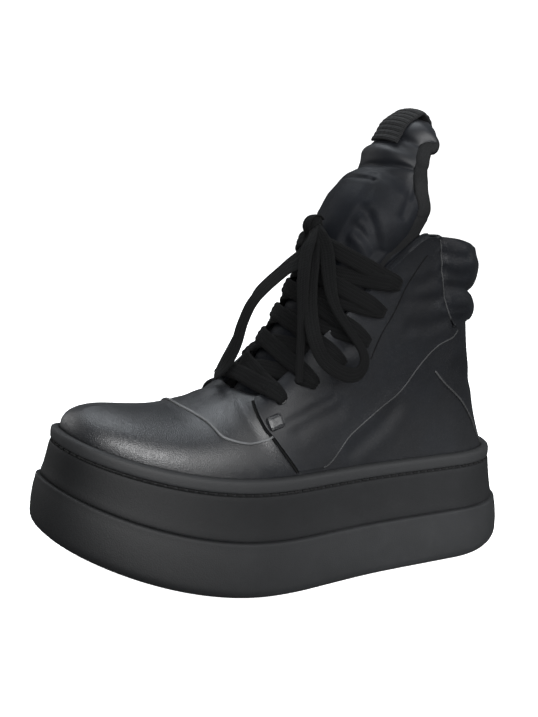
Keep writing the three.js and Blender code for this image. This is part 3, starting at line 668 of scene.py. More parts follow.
def dress(piece, finishes, stands_for=(), body="shoe"):
    if not piece.data.materials:
        for finish in finishes:
            piece.data.materials.append(finish)
    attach(piece, body)
    if stands_for:
        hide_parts(*stands_for)
    print(piece.name, len(piece.data.polygons), "faces")
    return piece


def soft_box(name, size, bevel):
    bpy.ops.object.select_all(action="DESELECT")
    bpy.ops.mesh.primitive_cube_add(size=1.0)
    box = bpy.context.object
    box.name = name
    bpy.ops.transform.resize(value=[side * MM for side in size])
    bpy.ops.object.transform_apply(location=False, rotation=False, scale=True)
    modify(box, "BEVEL", width=bevel * MM, segments=2)
    return box


def copies(name, model, frames):
    """Joins one copy of the model, with its own mesh, for each frame; the model itself is removed."""
    made = []
    for place, axes in frames:
        copy = bpy.data.objects.new(name, model.data.copy())
        bpy.context.collection.objects.link(copy)
        turn = Matrix([list(axis) for axis in axes]).transposed().to_4x4()
        copy.data.transform(Matrix.Translation(Vector(place * MM)) @ turn)
        made.append(copy)
    bpy.data.objects.remove(model)
    return join(name, made)


# %% [markdown]
# A lace is a flat braid. It could be a round tube, but a worn cotton lace is flat and creases down its
# length, so each run is a ribbon along a path, with a full oval section that creases in the middle.

# %% Ribbons
RIBBON_SIDES = 24
RIBBON_FLAT, RIBBON_FULL = 0.75, 0.6
RIBBON_CREASE = 0.16


def ribbon(name, points, across, width, thick, crease=RIBBON_CREASE):
    """A flat cord along points; across gives the direction of its width at each of them."""
    points = np.asarray(points, float)
    count = len(points)
    width = np.broadcast_to(np.asarray(width, float), (count,))
    thick = np.broadcast_to(np.asarray(thick, float), (count,))
    along = unit(np.gradient(points, axis=0))
    wide = unit(across - along * np.sum(across * along, -1, keepdims=True))
    out = np.cross(wide, along)

    def place(u, v):
        i = np.clip(np.rint(v * (count - 1)).astype(int), 0, count - 1)
        turn = 2 * math.pi * u
        c, s = np.cos(turn), np.sin(turn)
        flat = squared_off(c, RIBBON_FLAT)
        body = squared_off(s, RIBBON_FULL) * (1 - crease + crease * np.cos(3 * math.pi * flat))
        sideways = wide[i] * (flat * width[i] / 2)[:, None]
        return points[i] + sideways + out[i] * (body * thick[i] / 2)[:, None]

    return wrapped(name, RIBBON_SIDES, count - 1, place, size=(2 * float(width.max()), length_of(points)))


# %% [markdown]
# The bow's two loops and two ends hang free from the knot. A simulation could drop them, but then they
# would not hang as the photo shows, so each strand is a smooth line through places read off the photo.
# A flat lace narrows where it folds, so each place has a width too.

# %% Bow
BOW_WIDTH, BOW_THICK = 8.0, 1.9
BOW_PATHS = {
    "lace_loop_outer": [
        (-3, 6, 199), (-1, 15, 196), (-1, 21, 189), (0, 26, 179), (1, 32, 167), (-1, 37, 157),
        (-7, 43, 146), (-12, 48, 137), (-13, 50, 130), (-8, 51, 124), (2, 51, 125), (13, 49, 132),
        (18, 45, 143), (15, 34, 156), (11, 26, 169), (6, 19, 182), (2, 12, 192), (-2, 5, 199),
    ],
    "lace_loop_inner": [
        (-4, 2, 199), (-1, -2, 186), (8, -6, 177), (23, -10, 162), (28, -13, 148), (33.5, -15, 134),
        (38.5, -15.5, 124), (43.5, -12.5, 117.5), (48, -6, 115), (50, 1, 117.5), (49, 6.5, 124.5),
        (45.5, 7.5, 134), (41, 6, 147), (34, 6, 160), (16, 6, 175), (6, 7, 181), (-1, 8, 196),
    ],
    "lace_end_outer": [
        (-3, 4, 199), (4, 12, 194), (9, 16, 187), (15, 24, 173), (19, 32, 153), (23, 39, 134), (25, 43, 119),
    ],
    "lace_end_inner": [
        (-5, -2, 199), (-12, -18, 193), (-20, -33, 182), (-21, -40, 166), (-17, -42, 150), (-10, -43, 136),
        (-3, -45, 121), (3, -47, 104),
    ],
}
BOW_FOLDS = {
    "lace_loop_outer": [8, 8, 9, 8.5, 7, 5.6, 5, 5.4, 7, 8.5, 8.5, 8, 8, 8, 8, 8, 8, 8],
    "lace_loop_inner": [7, 8.8, 9.4, 9.6, 9.4, 9, 9, 8.6, 8, 8.6, 9, 9, 9.2, 9.6, 9.4, 8.8, 7],
    "lace_end_outer": [7, 8.4, 8.6, 7.4, 5.6, 4.5, 4.2],
    "lace_end_inner": [6, 7.5, 8, 8, 7, 6.4, 6, 5.6],
}
BOW_POINTS = 96
BOW_THICKENS = 0.6

for name, places in BOW_PATHS.items():
    line = catmull([(*place, width) for place, width in zip(places, BOW_FOLDS[name])], BOW_POINTS)
    path, width = line[:, :3], line[:, 3]
    step, turn, _ = beside_tongue(path)
    across = np.cross(np.gradient(path, axis=0), facing_at(step, turn))
    thick = BOW_THICK * (BOW_WIDTH / width) ** BOW_THICKENS
    cord = ribbon(name + "_braid", path, unit(across), width, thick)
    dress(cord, [lace_cotton], [name])
    tuple(path[0] * MM)
    [tuple(point * MM) for point in path]
    print(name, round(length_of(path)), "mm")

# %% [markdown]
# Every run of the lace starts and ends in a hole. The holes could be cut, but rings and laces cover
# them, so a hole is a place on the last and the way it faces. It is also looked up on the tongue, where
# the runs lie.

# %% Lace holes
EYELETS = [(11, 0.675), (-4, 0.625), (-19, 0.61), (-32, 0.62), (-41, 0.695), (-48.5, 0.765)]
PANEL_TOP = 2.1
LACE_WIDTH, LACE_THICK = 9.6, 3.0
LACE_OVER = 4.0


def hole_place(side, hole):
    foot_x, height = EYELETS[hole]
    angle = angle_of(np.array([float(foot_x)]))
    high = np.array([height])
    normal = last_normal(np.array([side]), angle, high)[0]
    return last_point(np.array([side]), angle, high)[0], normal


def hole_on_tongue(side, hole):
    point, normal = hole_place(side, hole)
    step, turn, lift = beside_tongue((point + normal * (PANEL_TOP + LACE_OVER))[None])
    return {"step": step[0], "turn": turn[0], "lift": lift[0], "facing": normal, "hole": point}


holes = {side: [hole_on_tongue(side, k) for k in range(len(EYELETS))] for side in (OUTER, INNER)}

# %% [markdown]
# The rest of the lace runs to and fro over the tongue. Straight straps would cut through the tongue, so
# each run rises out of its hole, folds over the edge of the panel, crosses the tongue and dives into
# the hole opposite. Runs that cross are given different lifts.

# %% Lace runs
KNOT_STEP, KNOT_LIFT = 3.9, 7.2
TIE_STEP, TIE_LIFT, TIE_TURN = 3.62, 5.6, 0.16
BAR_LIFT, UP_LIFT, DOWN_LIFT = 8.0, 4.6, 3.0
RUN_PLACES, RUN_POINTS = 13, 44
DIVE = [(2.4, -1.2), (1.0, 0.9), (-1.4, 0.4)]
PINCHED, PINCH_SPAN, PINCH_THICK = 0.7, 0.14, 1.5


def dive(end, inside):
    """Points from the strap down into its hole, each a height over the panel and a way past the hole."""
    out = unit(end["hole"] - inside)
    return [end["hole"] + end["facing"] * (PANEL_TOP + high) + out * past for high, past in DIVE]


def lace_run(name, start, end, middle):
    t = np.linspace(0, 1, RUN_PLACES)
    step = blend(start["step"], end["step"], t)
    turn = blend(start["turn"], end["turn"], t)
    outness = smooth(0.5, 1.0, np.abs(2 * t - 1))
    lift = blend(middle, blend(start["lift"], end["lift"], t), outness)
    line = tongue_point(step, turn, lift)
    facing = np.where((t < 0.5)[:, None], start["facing"], end["facing"])
    facing = unit(blend(facing_at(step, turn), facing, outness[:, None]))
    across = unit(np.cross(np.gradient(line, axis=0), facing))
    first = dive(start, line[2])[::-1] if "hole" in start else []
    final = dive(end, line[-3]) if "hole" in end else []
    inner = slice(1 if first else 0, -1 if final else None)
    places = np.array([*first, *line[inner], *final])
    spread = np.array([across[0]] * len(first) + list(across[inner]) + [across[-1]] * len(final))
    path = catmull(np.hstack([places, spread]), RUN_POINTS)
    share = np.linspace(0, 1, RUN_POINTS)
    pinch = 1.0
    if first:
        pinch = pinch * blend(PINCHED, 1, smooth(0, PINCH_SPAN, share))
    if final:
        pinch = pinch * blend(PINCHED, 1, smooth(1, 1 - PINCH_SPAN, share))
    thick = LACE_THICK * blend(PINCH_THICK, 1, pinch)
    return ribbon(name, path[:, :3], unit(path[:, 3:]), LACE_WIDTH * pinch, thick)


top_hole = len(EYELETS) - 1
runs = [lace_run("bar", holes[OUTER][0], holes[INNER][0], BAR_LIFT)]
for k in range(top_hole):
    runs.append(lace_run("up", holes[OUTER][k], holes[INNER][k + 1], UP_LIFT))
    runs.append(lace_run("down", holes[OUTER][k + 1], holes[INNER][k], DOWN_LIFT))
for side in (OUTER, INNER):
    turn = side * TIE_TURN
    knot_side = {"step": TIE_STEP, "turn": turn, "lift": TIE_LIFT, "facing": facing_at(TIE_STEP, turn)}
    runs.append(lace_run("to_knot", holes[side][top_hole], knot_side, TIE_LIFT))
dress(join("lace_runs", runs), [lace_cotton], ["lace_crossings"])

# %% [markdown]
# The knot is a lump of lace with one wrap across its front. One long knotted ribbon would be hidden
# inside itself, so a ball is squeezed and creased for the lump, and a ribbon is led round it for the
# wrap.

# %% Knot
KNOT_SIZE = np.array([6.2, 5.8, 4.3])
KNOT_FOLD = 0.06
WRAP_TURN, WRAP_POINTS = 125, 40
WRAP_RADII = (0.9, 5.2, 4.7)
WRAP_WIDTH, WRAP_THICK, WRAP_TILT = 7.2, 1.5, 0.12


def build_knot():
    centre = tongue_point(KNOT_STEP, 0.0, KNOT_LIFT)
    _, along, front = tongue_frame(np.array([KNOT_STEP]))
    axes = np.array([[0.0, 1.0, 0.0], along[0], front[0]])

    def lump(u, v):
        turn, rise = 2 * math.pi * u, math.pi * v
        ball = np.stack([np.sin(rise) * np.cos(turn), np.cos(rise), np.sin(rise) * np.sin(turn)], -1)
        folds = 1 + KNOT_FOLD * np.sin(5 * turn + 4 * ball[:, 1]) * np.sin(rise) ** 2
        return centre + (ball * KNOT_SIZE * folds[:, None]) @ axes

    turn = np.radians(np.linspace(-WRAP_TURN, WRAP_TURN, WRAP_POINTS))
    ring = np.stack([np.sin(turn * 0.5), np.sin(turn), np.cos(turn)], -1) * WRAP_RADII
    across = np.tile((1.0, WRAP_TILT, 0.0), (len(turn), 1)) @ axes
    wrap = ribbon("wrap", centre + ring @ axes, unit(across), WRAP_WIDTH, WRAP_THICK)
    return join("lace_knot_wrapped", [wrapped("lump", 40, 24, lump, size=(30, 20)), wrap])


dress(build_knot(), [lace_cotton], ["lace_knot"])

# %% [markdown]
# The sole is two moulded bands. They could be cut from blocks, but each is one profile led round the
# plan, as a mould is milled: the lower band flares and rolls under to the tread, the upper band is a
# little hollow and ends in a rolled bead with a sewing groove below it. A row of a profile is its
# offset from the plan, which height it follows, how far above that, and how far it lies out from the
# middle line, where the two sides are welded.

# %% Sole profiles
BOTTOM, STEP, RIM = 0, 1, 2
OUTSOLE_PROFILE = [
    (-6, BOTTOM, 0.0, 1), (-2.1, BOTTOM, 0.0, 1), (0.4, BOTTOM, 0.45, 1), (2.4, BOTTOM, 1.5, 1),
    (3.8, BOTTOM, 3.2, 1), (4.6, BOTTOM, 5.2, 1), (4.85, BOTTOM, 7.5, 1), (4.5, 0.5, 0, 1), (3.5, 0.75, 0, 1),
    (2.5, STEP, -3.0, 1), (2.25, STEP, -1.3, 1), (1.95, STEP, -0.55, 1), (1.4, STEP, -0.1, 1),
    (0.6, STEP, 0.05, 1), (-2.5, STEP, 0, 1), (-20, STEP, 0, 1), (-20, STEP, 0, 0),
]
MIDSOLE_PROFILE = [
    (-20, STEP, 0.05, 0), (-20, STEP, 0.05, 1), (-2.0, STEP, 0.05, 1), (-0.75, STEP, 0.1, 1),
    (-0.35, STEP, 0.5, 1), (-0.5, STEP, 2.5, 1), (-1.6, 1.2, 0, 1), (-2.9, 1.4, 0, 1), (-3.9, 1.58, 0, 1),
    (-4.6, RIM, -9.7, 1), (-4.85, RIM, -9.3, 1), (-5.6, RIM, -9.1, 1), (-6.2, RIM, -8.7, 1),
    (-6.35, RIM, -8.2, 1), (-6.1, RIM, -7.7, 1), (-5.3, RIM, -7.4, 1), (-4.95, RIM, -6.9, 1),
    (-4.9, RIM, -4.6, 1), (-5.1, RIM, -2.4, 1), (-5.6, RIM, -1.2, 1), (-6.6, RIM, -0.45, 1),
    (-8.2, RIM, -0.05, 1), (-9.5, RIM, -0.3, 1), (-9.8, RIM, -1.4, 1), (-9.8, RIM, -8, 1),
    (-30, RIM, -8, 1), (-30, RIM, -8, 0),
]
ROUND, BAND_STEPS = 320, 2
BEAD_DEEP = 7.5


def height_of(level, x):
    low = np.where(level <= STEP, bottom_at(x), step_at(x))
    high = np.where(level <= STEP, step_at(x), rim_at(x))
    return blend(low, high, np.where(level <= STEP, level, level - 1))


def band(profile, between):
    rows = np.array(profile, float)

    def place(u, v):
        at = v * (len(rows) - 1)
        i = np.clip(at.astype(int), 0, len(rows) - 2)
        t = (at - i)[:, None]
        offset, _, _, reach = blend(rows[i], rows[i + 1], t).T
        side, angle = round_the_shoe(u)
        flat = plan_point(side, angle) + plan_out(side, angle) * offset[:, None]
        x = flat[:, 0]
        start = height_of(rows[i, 1], x) + rows[i, 2]
        end = height_of(rows[i + 1, 1], x) + rows[i + 1, 2]
        y = blend(inward(x), flat[:, 1], reach)
        return np.stack([x, y, blend(start, end, t[:, 0])], -1)

    return place, (len(rows) - 1) * between


# %% [markdown]
# Underneath, the tread is a field of shallow waves that run across the sole. Bump would do for one
# picture, but the sole is seen from below too, so it is the same weld of two sides, cut in fine rows so
# that the grooves are real.

# %% Soles
TREAD_ROWS = 26
TREAD_PITCH, TREAD_DEPTH = 9.0, 1.4
TREAD_SWAY, TREAD_SPAN = 3.5, 26
OUTSOLE_SHARP, MIDSOLE_SHARP = 55, 60


def tread(u, v):
    side, angle = round_the_shoe(u)
    flat = plan_point(side, angle) + plan_out(side, angle) * OUTSOLE_PROFILE[0][0]
    x = flat[:, 0]
    y = blend(inward(x), flat[:, 1], v)
    wave = np.sin(2 * math.pi * (x + TREAD_SWAY * np.sin(2 * math.pi * y / TREAD_SPAN)) / TREAD_PITCH)
    groove = smooth(0.25, 0.8, wave) * smooth(1.0, 0.82, v)
    return np.stack([x, y, bottom_at(x) + TREAD_DEPTH * groove], -1)


place, rows = band(OUTSOLE_PROFILE, BAND_STEPS)
wall = wrapped("side", ROUND, rows, place, False)
under = wrapped("under", ROUND, TREAD_ROWS, tread, False)
outsole = join("outsole_tread", [wall, under])
bpy.ops.object.mode_set(mode="EDIT")
bpy.ops.mesh.select_all(action="SELECT")
bpy.ops.mesh.remove_doubles(threshold=WELD)
bpy.ops.mesh.normals_make_consistent(inside=False)
bpy.ops.object.mode_set(mode="OBJECT")
sharpen(outsole, OUTSOLE_SHARP)
dress(outsole, [sole_rubber], ["outsole"])

place, rows = band(MIDSOLE_PROFILE, BAND_STEPS)
midsole = wrapped("midsole_band", ROUND, rows, place)
sharpen(midsole, MIDSOLE_SHARP)
for face in midsole.data.polygons:
    x, _, z = face.center / MM
    face.material_index = int(z > rim_at(x) - BEAD_DEEP)
dress(midsole, [wall_rubber, bead_rubber], ["midsole"])

# %% [markdown]
# The sock is a flat board in the cup of the sole. A plain disc would leave a gap at the wall, so it is
# one more band on the plan, low and plain, with a woven finish.

# %% Insole
INSOLE_PROFILE = [
    (-30, RIM, -7.7, 0), (-30, RIM, -7.7, 1), (-13.3, RIM, -7.7, 1), (-13.2, RIM, -5.2, 1),
    (-13.6, RIM, -4.2, 1), (-14.6, RIM, -3.7, 1), (-30, RIM, -3.7, 1), (-30, RIM, -3.7, 0),
]
INSOLE_ROUND, INSOLE_SHARP = 200, 50
INSOLE_WEAVE = (600, 60)
place, rows = band(INSOLE_PROFILE, BAND_STEPS)
insole = wrapped("insole_board", INSOLE_ROUND, rows, place, size=INSOLE_WEAVE)
sharpen(insole, INSOLE_SHARP)
dress(insole, [lining], ["insole"])

# %% [markdown]
# Creases are listed one by one, each a line in space with a depth and a width. A cloth simulation would
# crease the leather somewhere else, and these lie where the photo has them. Where a line passes near the
# skin, the skin sinks along it and swells a little on both sides.

# %% Creases
CREASES = [
    ([(27, 39, 95.6), (18, 39, 99), (8, 38, 103), (-3, 37, 107)], 0.28, 2.2),
    ([(20, 39, 91), (8, 39, 97), (-6, 38, 100)], 0.4, 5.0),
    ([(-20, 43, 75), (-40, 42, 87), (-50, 41, 97)], 0.7, 5.0),
    ([(-50, 36, 162.4), (-62, 36, 161.5), (-76, 36, 162.4)], 0.5, 3.6),
    ([(-55, 35, 145.8), (-68, 35, 146), (-80, 35, 148.8)], 0.45, 4.0),
    ([(-66, 38, 175), (-58, 38, 171), (-50, 37, 169)], 0.4, 4.0),
    ([(-98, 33, 120), (-108, 30, 112), (-118, 25, 108)], 0.6, 5.0),
    ([(-71, 41, 190), (-80, 42, 188), (-91, 40, 188)], 0.8, 2.4),
    ([(-73, 41, 180), (-83, 42, 177), (-94, 38, 177)], 0.9, 2.6),
    ([(-79, 40, 158), (-88, 40, 156), (-96, 36, 156)], 0.7, 2.2),
    ([(-92, 38, 192), (-102, 34, 189), (-112, 22, 186)], 0.6, 3.0),
    ([(-12, 30, 135), (-4, 29, 145), (2, 28, 150)], 1.2, 5.0),
    ([(24, -40, 94), (13, -40, 101), (-3, -40, 103)], 0.5, 3.5),
    ([(-98, -33, 120), (-108, -30, 112), (-118, -25, 108)], 0.6, 5.0),
    ([(-20, -40, 85), (-30, -40, 96), (-36, -39, 108)], 0.7, 5.0),
    ([(-92, -38, 190), (-102, -34, 188), (-112, -22, 186)], 0.6, 3.0),
    ([(-88, -40, 181), (-98, -36, 178), (-108, -28, 177)], 0.8, 2.6),
]
CREASE_SIGHT = np.array([1.0, 0.3, 1.0])
CREASE_SWELL, SWELL_AT = 0.45, 1.7


def from_line(points, line):
    line = np.array(line, float)
    best = np.full(len(points), 1e9)
    for a, b in zip(line, line[1:]):
        t = np.clip((points - a) @ (b - a) / np.sum((b - a) ** 2), 0, 1)
        best = np.minimum(best, np.linalg.norm(points - a - t[:, None] * (b - a), axis=1))
    return best


def crease_lift(points):
    lift = np.zeros(len(points))
    for line, depth, width in CREASES:
        far = from_line(points * CREASE_SIGHT, np.array(line) * CREASE_SIGHT) / width
        lift += depth * (CREASE_SWELL * np.exp(-((far - SWELL_AT) ** 2)) - np.exp(-(far**2)))
    return lift


def skin_point(side, angle, height, level=0.0):
    side, angle, height = np.broadcast_arrays(side, np.asarray(angle, float), np.asarray(height, float))
    bare = last_point(side, angle, height)
    fade = np.where(angle <= RIDGE_END, smooth(1.0, 0.95, height), 1)
    lift = crease_lift(bare) * fade + level
    return bare + last_normal(side, angle, height) * lift[:, None]


# %% [markdown]
# The upper is one skin over the last. It could be sewn from many sheets, but one skin has no gaps, and
# the panels are laid on it afterwards. Solidify gives it a wall, thicker at the padded collar, and a
# bevel rounds its edges. The vamp is tight calf, and the rest is the softer calf of the quarters.

# %% Upper
UPPER_COLUMNS, UPPER_ROWS = 340, 66
WALL, COLLAR_WALL = 2.4, 5.0
PAD_FRONT, PAD_BACK, PAD_LOW, PAD_HIGH = -60, -95, 130, 165
VAMP_END = 17.0
TUCK = 0.3
SHARP, BEVELLED = 60, math.radians(55)


def upper_skin(u, v):
    side, angle = round_the_shoe(u)
    row = v * (UPPER_ROWS + 1) - 1
    height = row_height(angle, np.clip(row / UPPER_ROWS, 0, 1))
    skin = skin_point(side, angle, height)
    skin[:, 2] = np.where(row < -0.5, rim_at(skin[:, 0]) - CUP_DEPTH + TUCK, skin[:, 2])
    return skin


upper = wrapped("upper_skin", UPPER_COLUMNS, UPPER_ROWS + 1, upper_skin, False)
padding = upper.vertex_groups.new(name="padding")
for vertex in upper.data.vertices:
    x, _, z = vertex.co / MM
    share = smooth(PAD_FRONT, PAD_BACK, x) * smooth(PAD_LOW, PAD_HIGH, z)
    padding.add([vertex.index], float(blend(WALL, COLLAR_WALL, share) / COLLAR_WALL), "REPLACE")
for finish in (calf, lining, quarter_calf, lining):
    upper.data.materials.append(finish)
for face in upper.data.polygons:
    face.material_index = 2 * int(face.center.x < VAMP_END * MM)
modify(upper, "SOLIDIFY", thickness=COLLAR_WALL * MM, offset=-1, vertex_group="padding", material_offset=1)
modify(upper, "BEVEL", width=0.9 * MM, segments=3, limit_method="ANGLE", angle_limit=BEVELLED)
sharpen(upper, SHARP)
dress(upper, [], ["upper"])

# %% [markdown]
# Quarter panels lie on the skin, so they ask the skin for their place and add their own thickness. They
# could be drawn on as lines, but a real step catches the light along its edge.

# %% Quarter panels
QUARTER = {
    OUTER: [
        (18, 0.03, 18, 0.86), (8, 0.03, 8, 0.95), (2, 0.03, 2, 0.985), (-19, 0.2, -19, 0.985),
        (-38, 0.28, -38, 0.985), (-53, 0.325, -53, 0.985), (-66, 0.4, -66, 0.985),
        (-73, 0.435, -72, 0.97), (-79, 0.458, -76, 0.742), (-85, 0.473, -80.6, 0.627),
        (-91, 0.488, -84.8, 0.571), (-97, 0.515, -90, 0.529),
    ],
    INNER: [
        (18, 0.03, 18, 0.86), (8, 0.03, 8, 0.95), (2, 0.03, 2, 0.985), (-18, 0.03, -18, 0.985),
        (-24, 0.07, -24, 0.985), (-50, 0.55, -50, 0.985), (-72, 0.94, -72, 0.985),
    ],
}
PANEL_FRONT = [(0.0, 17), (0.2, 19.3), (0.35, 20.8), (0.45, 22.4), (0.6, 22.7), (0.75, 22.7), (0.9, 22)]
PANEL_COLUMNS, PANEL_ROWS = 150, 100
PANEL_LEVEL, PANEL_THICK = 1.7, 1.6


def quarter_edges(side, share):
    """Angle and height of the lower and of the upper edge, from the front of the panel to its end."""
    rows = np.array(QUARTER[side], float)
    rows[:, [0, 2]] = angle_of(rows[:, [0, 2]])
    gone = travelled(rows)
    table = np.column_stack([gone / gone[-1], rows])
    return [through_table(table, 0, k)(share) for k in range(1, 5)]


def quarter_panel(side, name, stands_for):
    front = through_table(PANEL_FRONT, 0, 1)
    start = angle_of(QUARTER[side][0][0])

    def place(u, v):
        low_angle, low, high_angle, high = quarter_edges(side, u)
        height = blend(low, high, v)
        angle = blend(low_angle, high_angle, v) + (angle_of(front(height)) - start) * (1 - u) ** 3
        return skin_point(np.full(len(u), side), angle, height, PANEL_LEVEL)

    panel = wrapped(name, PANEL_COLUMNS, PANEL_ROWS, place, False)
    modify(panel, "SOLIDIFY", thickness=PANEL_THICK * MM, offset=-1)
    modify(panel, "BEVEL", width=0.5 * MM, segments=2, limit_method="ANGLE", angle_limit=BEVELLED)
    sharpen(panel, SHARP)
    return dress(panel, [quarter_calf], [stands_for])


quarter_panel(OUTER, "quarter_panel_outer", "quarter_outer")
quarter_panel(INNER, "quarter_panel_inner", "quarter_inner")

# %% [markdown]
# A short bar of folded leather is tacked on the panel beside the lowest hole, where the lace pulls
# hardest. It could be cut into the panel, but it is a piece of its own: a box with soft edges, turned
# to lie on the skin.

# %% Bar tacks
TACK = (17.0, 0.487)
TACK_SIZE, TACK_BEVEL, TACK_LIFT = (10.0, 8.4, 4.6), 2.1, 0.4


def tack(side):
    angle, height = angle_of(np.array([TACK[0]])), np.array([TACK[1]])
    sides = np.array([side])
    near, rise = 0.03, 0.004
    point = skin_point(sides, angle, height, PANEL_LEVEL + TACK_LIFT)[0]
    normal = last_normal(sides, angle, height)[0]
    ahead = skin_point(sides, angle + near, height + rise)[0]
    run = ahead - skin_point(sides, angle - near, height - rise)[0]
    along = unit(run - normal * (run @ normal))
    bar = soft_box("tack", TACK_SIZE, TACK_BEVEL)
    return copies("tack", bar, [(point, (along, np.cross(normal, along), normal))])


dress(join("bar_tacks", [tack(OUTER), tack(INNER)]), [calf])

# %% [markdown]
# Seam lines are narrow cords of leather edge pressed on the skin. They could be cut into the skin's
# grid, but it is too coarse for a line a millimetre wide. A line is given as places in space; the
# nearest places on the last are looked up, and a smooth path is led through them. The wave on the vamp
# is raw and pale, and the other lines are duller.

# %% Seam lines
LOOKUP_COLUMNS, LOOKUP_ROWS, LOOKUP_END = 300, 160, 0.03
SKIN_SPAN = 60.0


def lookup_grid(side):
    columns = np.linspace(LOOKUP_END, math.pi - LOOKUP_END, LOOKUP_COLUMNS)
    angle, height = np.meshgrid(columns, np.linspace(0, 1, LOOKUP_ROWS), indexing="ij")
    angle, height = angle.ravel(), height.ravel()
    return angle, height, last_point(np.full(len(angle), side), angle, height)


lookup = {side: lookup_grid(side) for side in (OUTER, INNER)}


def path_on_skin(side, places, count):
    angle, height, points = lookup[side]
    nearest = [int(np.argmin(np.sum((points - place) ** 2, -1))) for place in np.array(places, float)]
    line = catmull(np.stack([angle[nearest], height[nearest]], -1) * SKIN_SPAN, count) / SKIN_SPAN
    return line[:, 0], np.clip(line[:, 1], 0, 1)


def on_side(side, places):
    return [(x, y * side, z) for x, y, z in places]


def seam(name, side, angle, height, width, level, proud):
    sides = np.full(len(angle), side)
    middle = skin_point(sides, angle, height, level)
    across = np.cross(last_normal(sides, angle, height), np.gradient(middle, axis=0))
    return ribbon(name, middle, unit(across), width, proud, 0.0)


WAVE = [
    (68.6, 1.0), (66.5, 0.832), (62.7, 0.659), (61.2, 0.555), (59.3, 0.459), (55.8, 0.411), (51.3, 0.375),
    (45.5, 0.341), (38.1, 0.315), (31.2, 0.316), (25.5, 0.336), (20.5, 0.372),
]
COUNTER = [(-79, 38, 118), (-91.5, 36, 107), (-107, 32, 94.5), (-121, 27, 79), (-129.5, 24, 66.5)]
COLLAR = [(-66.5, 38, 199), (-71.5, 38, 183), (-77, 38, 165.5), (-81.5, 36, 155), (-88.5, 33, 145)]
LOW_EDGE = [(OUTER, 1, -97.5, 1.1), (INNER, 1, -30, 1.7), (INNER, -51, -97.5, 0.4)]
EYESTAY = [(-60, 38, 189), (-49.4, 36, 171), (-42.5, 35, 155), (-35.3, 35, 142), (-29, 35, 128)]
EYESTAY_LOW = [(-18, 37, 114), (-4, 38, 105), (10, 39, 99)]
LOW_WIDTH, LOW_PROUD = 1.2, 1.4
WAVE_SIZE = (1.3, 0.5, 1.3)
COUNTER_SIZE = (1.2, 0.4, 1.1)
COLLAR_SIZE = (0.7, 1.7, 1.1)
EYESTAY_SIZE = (0.9, PANEL_LEVEL - 0.1, 0.5)
FRONT_SIZE = (1.5, 0.5, 1.0)
FRONT_AHEAD = 0.006
edges = []
waves = []
wave = [(float(angle_of(foot_x)) * SKIN_SPAN, height * SKIN_SPAN) for foot_x, height in WAVE]
wave = catmull(wave, 110) / SKIN_SPAN
low_angle, low, _, _ = quarter_edges(OUTER, np.linspace(0, 1, 160))
foot_x = (HALF_LENGTH - FEATHER_INSET) * np.cos(low_angle)
for side, first, last, level in LOW_EDGE:
    keep = (foot_x < first) & (foot_x > last)
    edges.append(seam("line", side, low_angle[keep], low[keep], LOW_WIDTH, level, LOW_PROUD))
for side in (OUTER, INNER):
    waves.append(seam("line", side, wave[:, 0], np.clip(wave[:, 1], 0, 1), *WAVE_SIZE))
    edges.append(seam("line", side, *path_on_skin(side, on_side(side, COUNTER), 90), *COUNTER_SIZE))
edges.append(seam("line", OUTER, *path_on_skin(OUTER, COLLAR, 90), *COLLAR_SIZE))
for line in waves:
    line.data.materials.append(raw_edge)
for line in edges:
    line.data.materials.append(dull_edge)
dress(join("seam_lines", waves + edges), [])

# %% [markdown]
# Where a panel's edge is folded under, a dark line shows and no pale one. A fold could be modelled as a real
# gap, but it would be finer than the grid, so a narrow near-black cord lies in its place as painted shadow.

# %% Shaded folds
folds = []
height = np.linspace(0.02, 0.8, 80)
front = angle_of(through_table(PANEL_FRONT, 0, 1)(height)) - FRONT_AHEAD
for side in (OUTER, INNER):
    line = on_side(side, EYESTAY if side == OUTER else EYESTAY + EYESTAY_LOW)
    folds.append(seam("fold", side, *path_on_skin(side, line, 120), *EYESTAY_SIZE))
    folds.append(seam("front", side, front, height, *FRONT_SIZE))
dress(join("shaded_folds", folds), [painted_fold_shadow])

# %% [markdown]
# The tongue is the softest piece: a thick pad sewn into a centre panel, a roll and a domed head. A
# cloth bag could be blown up to give the same, but its folds would fall by chance. Its seams pull the
# pad in and the filling swells between them, so each seam is a valley in the lift and each panel a
# crown.

# %% Tongue
TONGUE_COLUMNS, TONGUE_ROWS = 132, 190
TONGUE_OUTLINE = [
    (0, 0), (4.5, -3), (5, -6), (5.5, -10), (6, -13), (6.5, -12), (7, 3), (7.5, 10), (8, 12), (8.5, 12),
    (9, 14), (9.5, 15), (10, 6), (10.4, -3), (10.75, -1), (TONGUE_END, 8),
]
BOUND = 9
TONGUE_SEAMS = [
    ([(5.75, -21), (5.78, -6), (5.83, 11), (6.0, 21)], 1.1, 1.5),
    ([(6.4, 16), (6.0, 21), (5.5, 26), (4.95, 29), (4.45, 30.5), (3.6, 32), (2.0, 33)], 1.3, 1.7),
    ([(7.2, 52), (6.6, 57), (5.9, 62), (5.4, 66)], 1.4, 2.2),
    ([(4.75, 38), (4.45, 50), (4.05, 64), (3.8, 72)], 2.3, 3.0),
    ([(4.2, 40), (4.0, 52), (3.7, 66)], 2.4, 2.6),
    ([(3.7, 36), (3.55, 52), (3.4, 66)], 2.2, 2.6),
    ([(6.7, -60), (7.0, -20), (7.15, 10), (7.4, 30), (7.65, 60)], 1.2, 2.4),
    ([(9.2, -60), (9.3, -10), (9.4, 15), (9.4, 30), (9.5, 60)], 1.4, 2.4),
]
TONGUE_CROWNS = [
    (4.6, 0, 26, 26, 1.3), (5.2, 45, 24, 14, 0.5), (5.2, -45, 24, 14, 0.5), (8.2, 30, 9, 22, 0.8),
    (8.2, -30, 9, 22, 0.8), (10.2, 34, 13, 12, 2.2), (10.2, -34, 13, 12, 2.2),
]
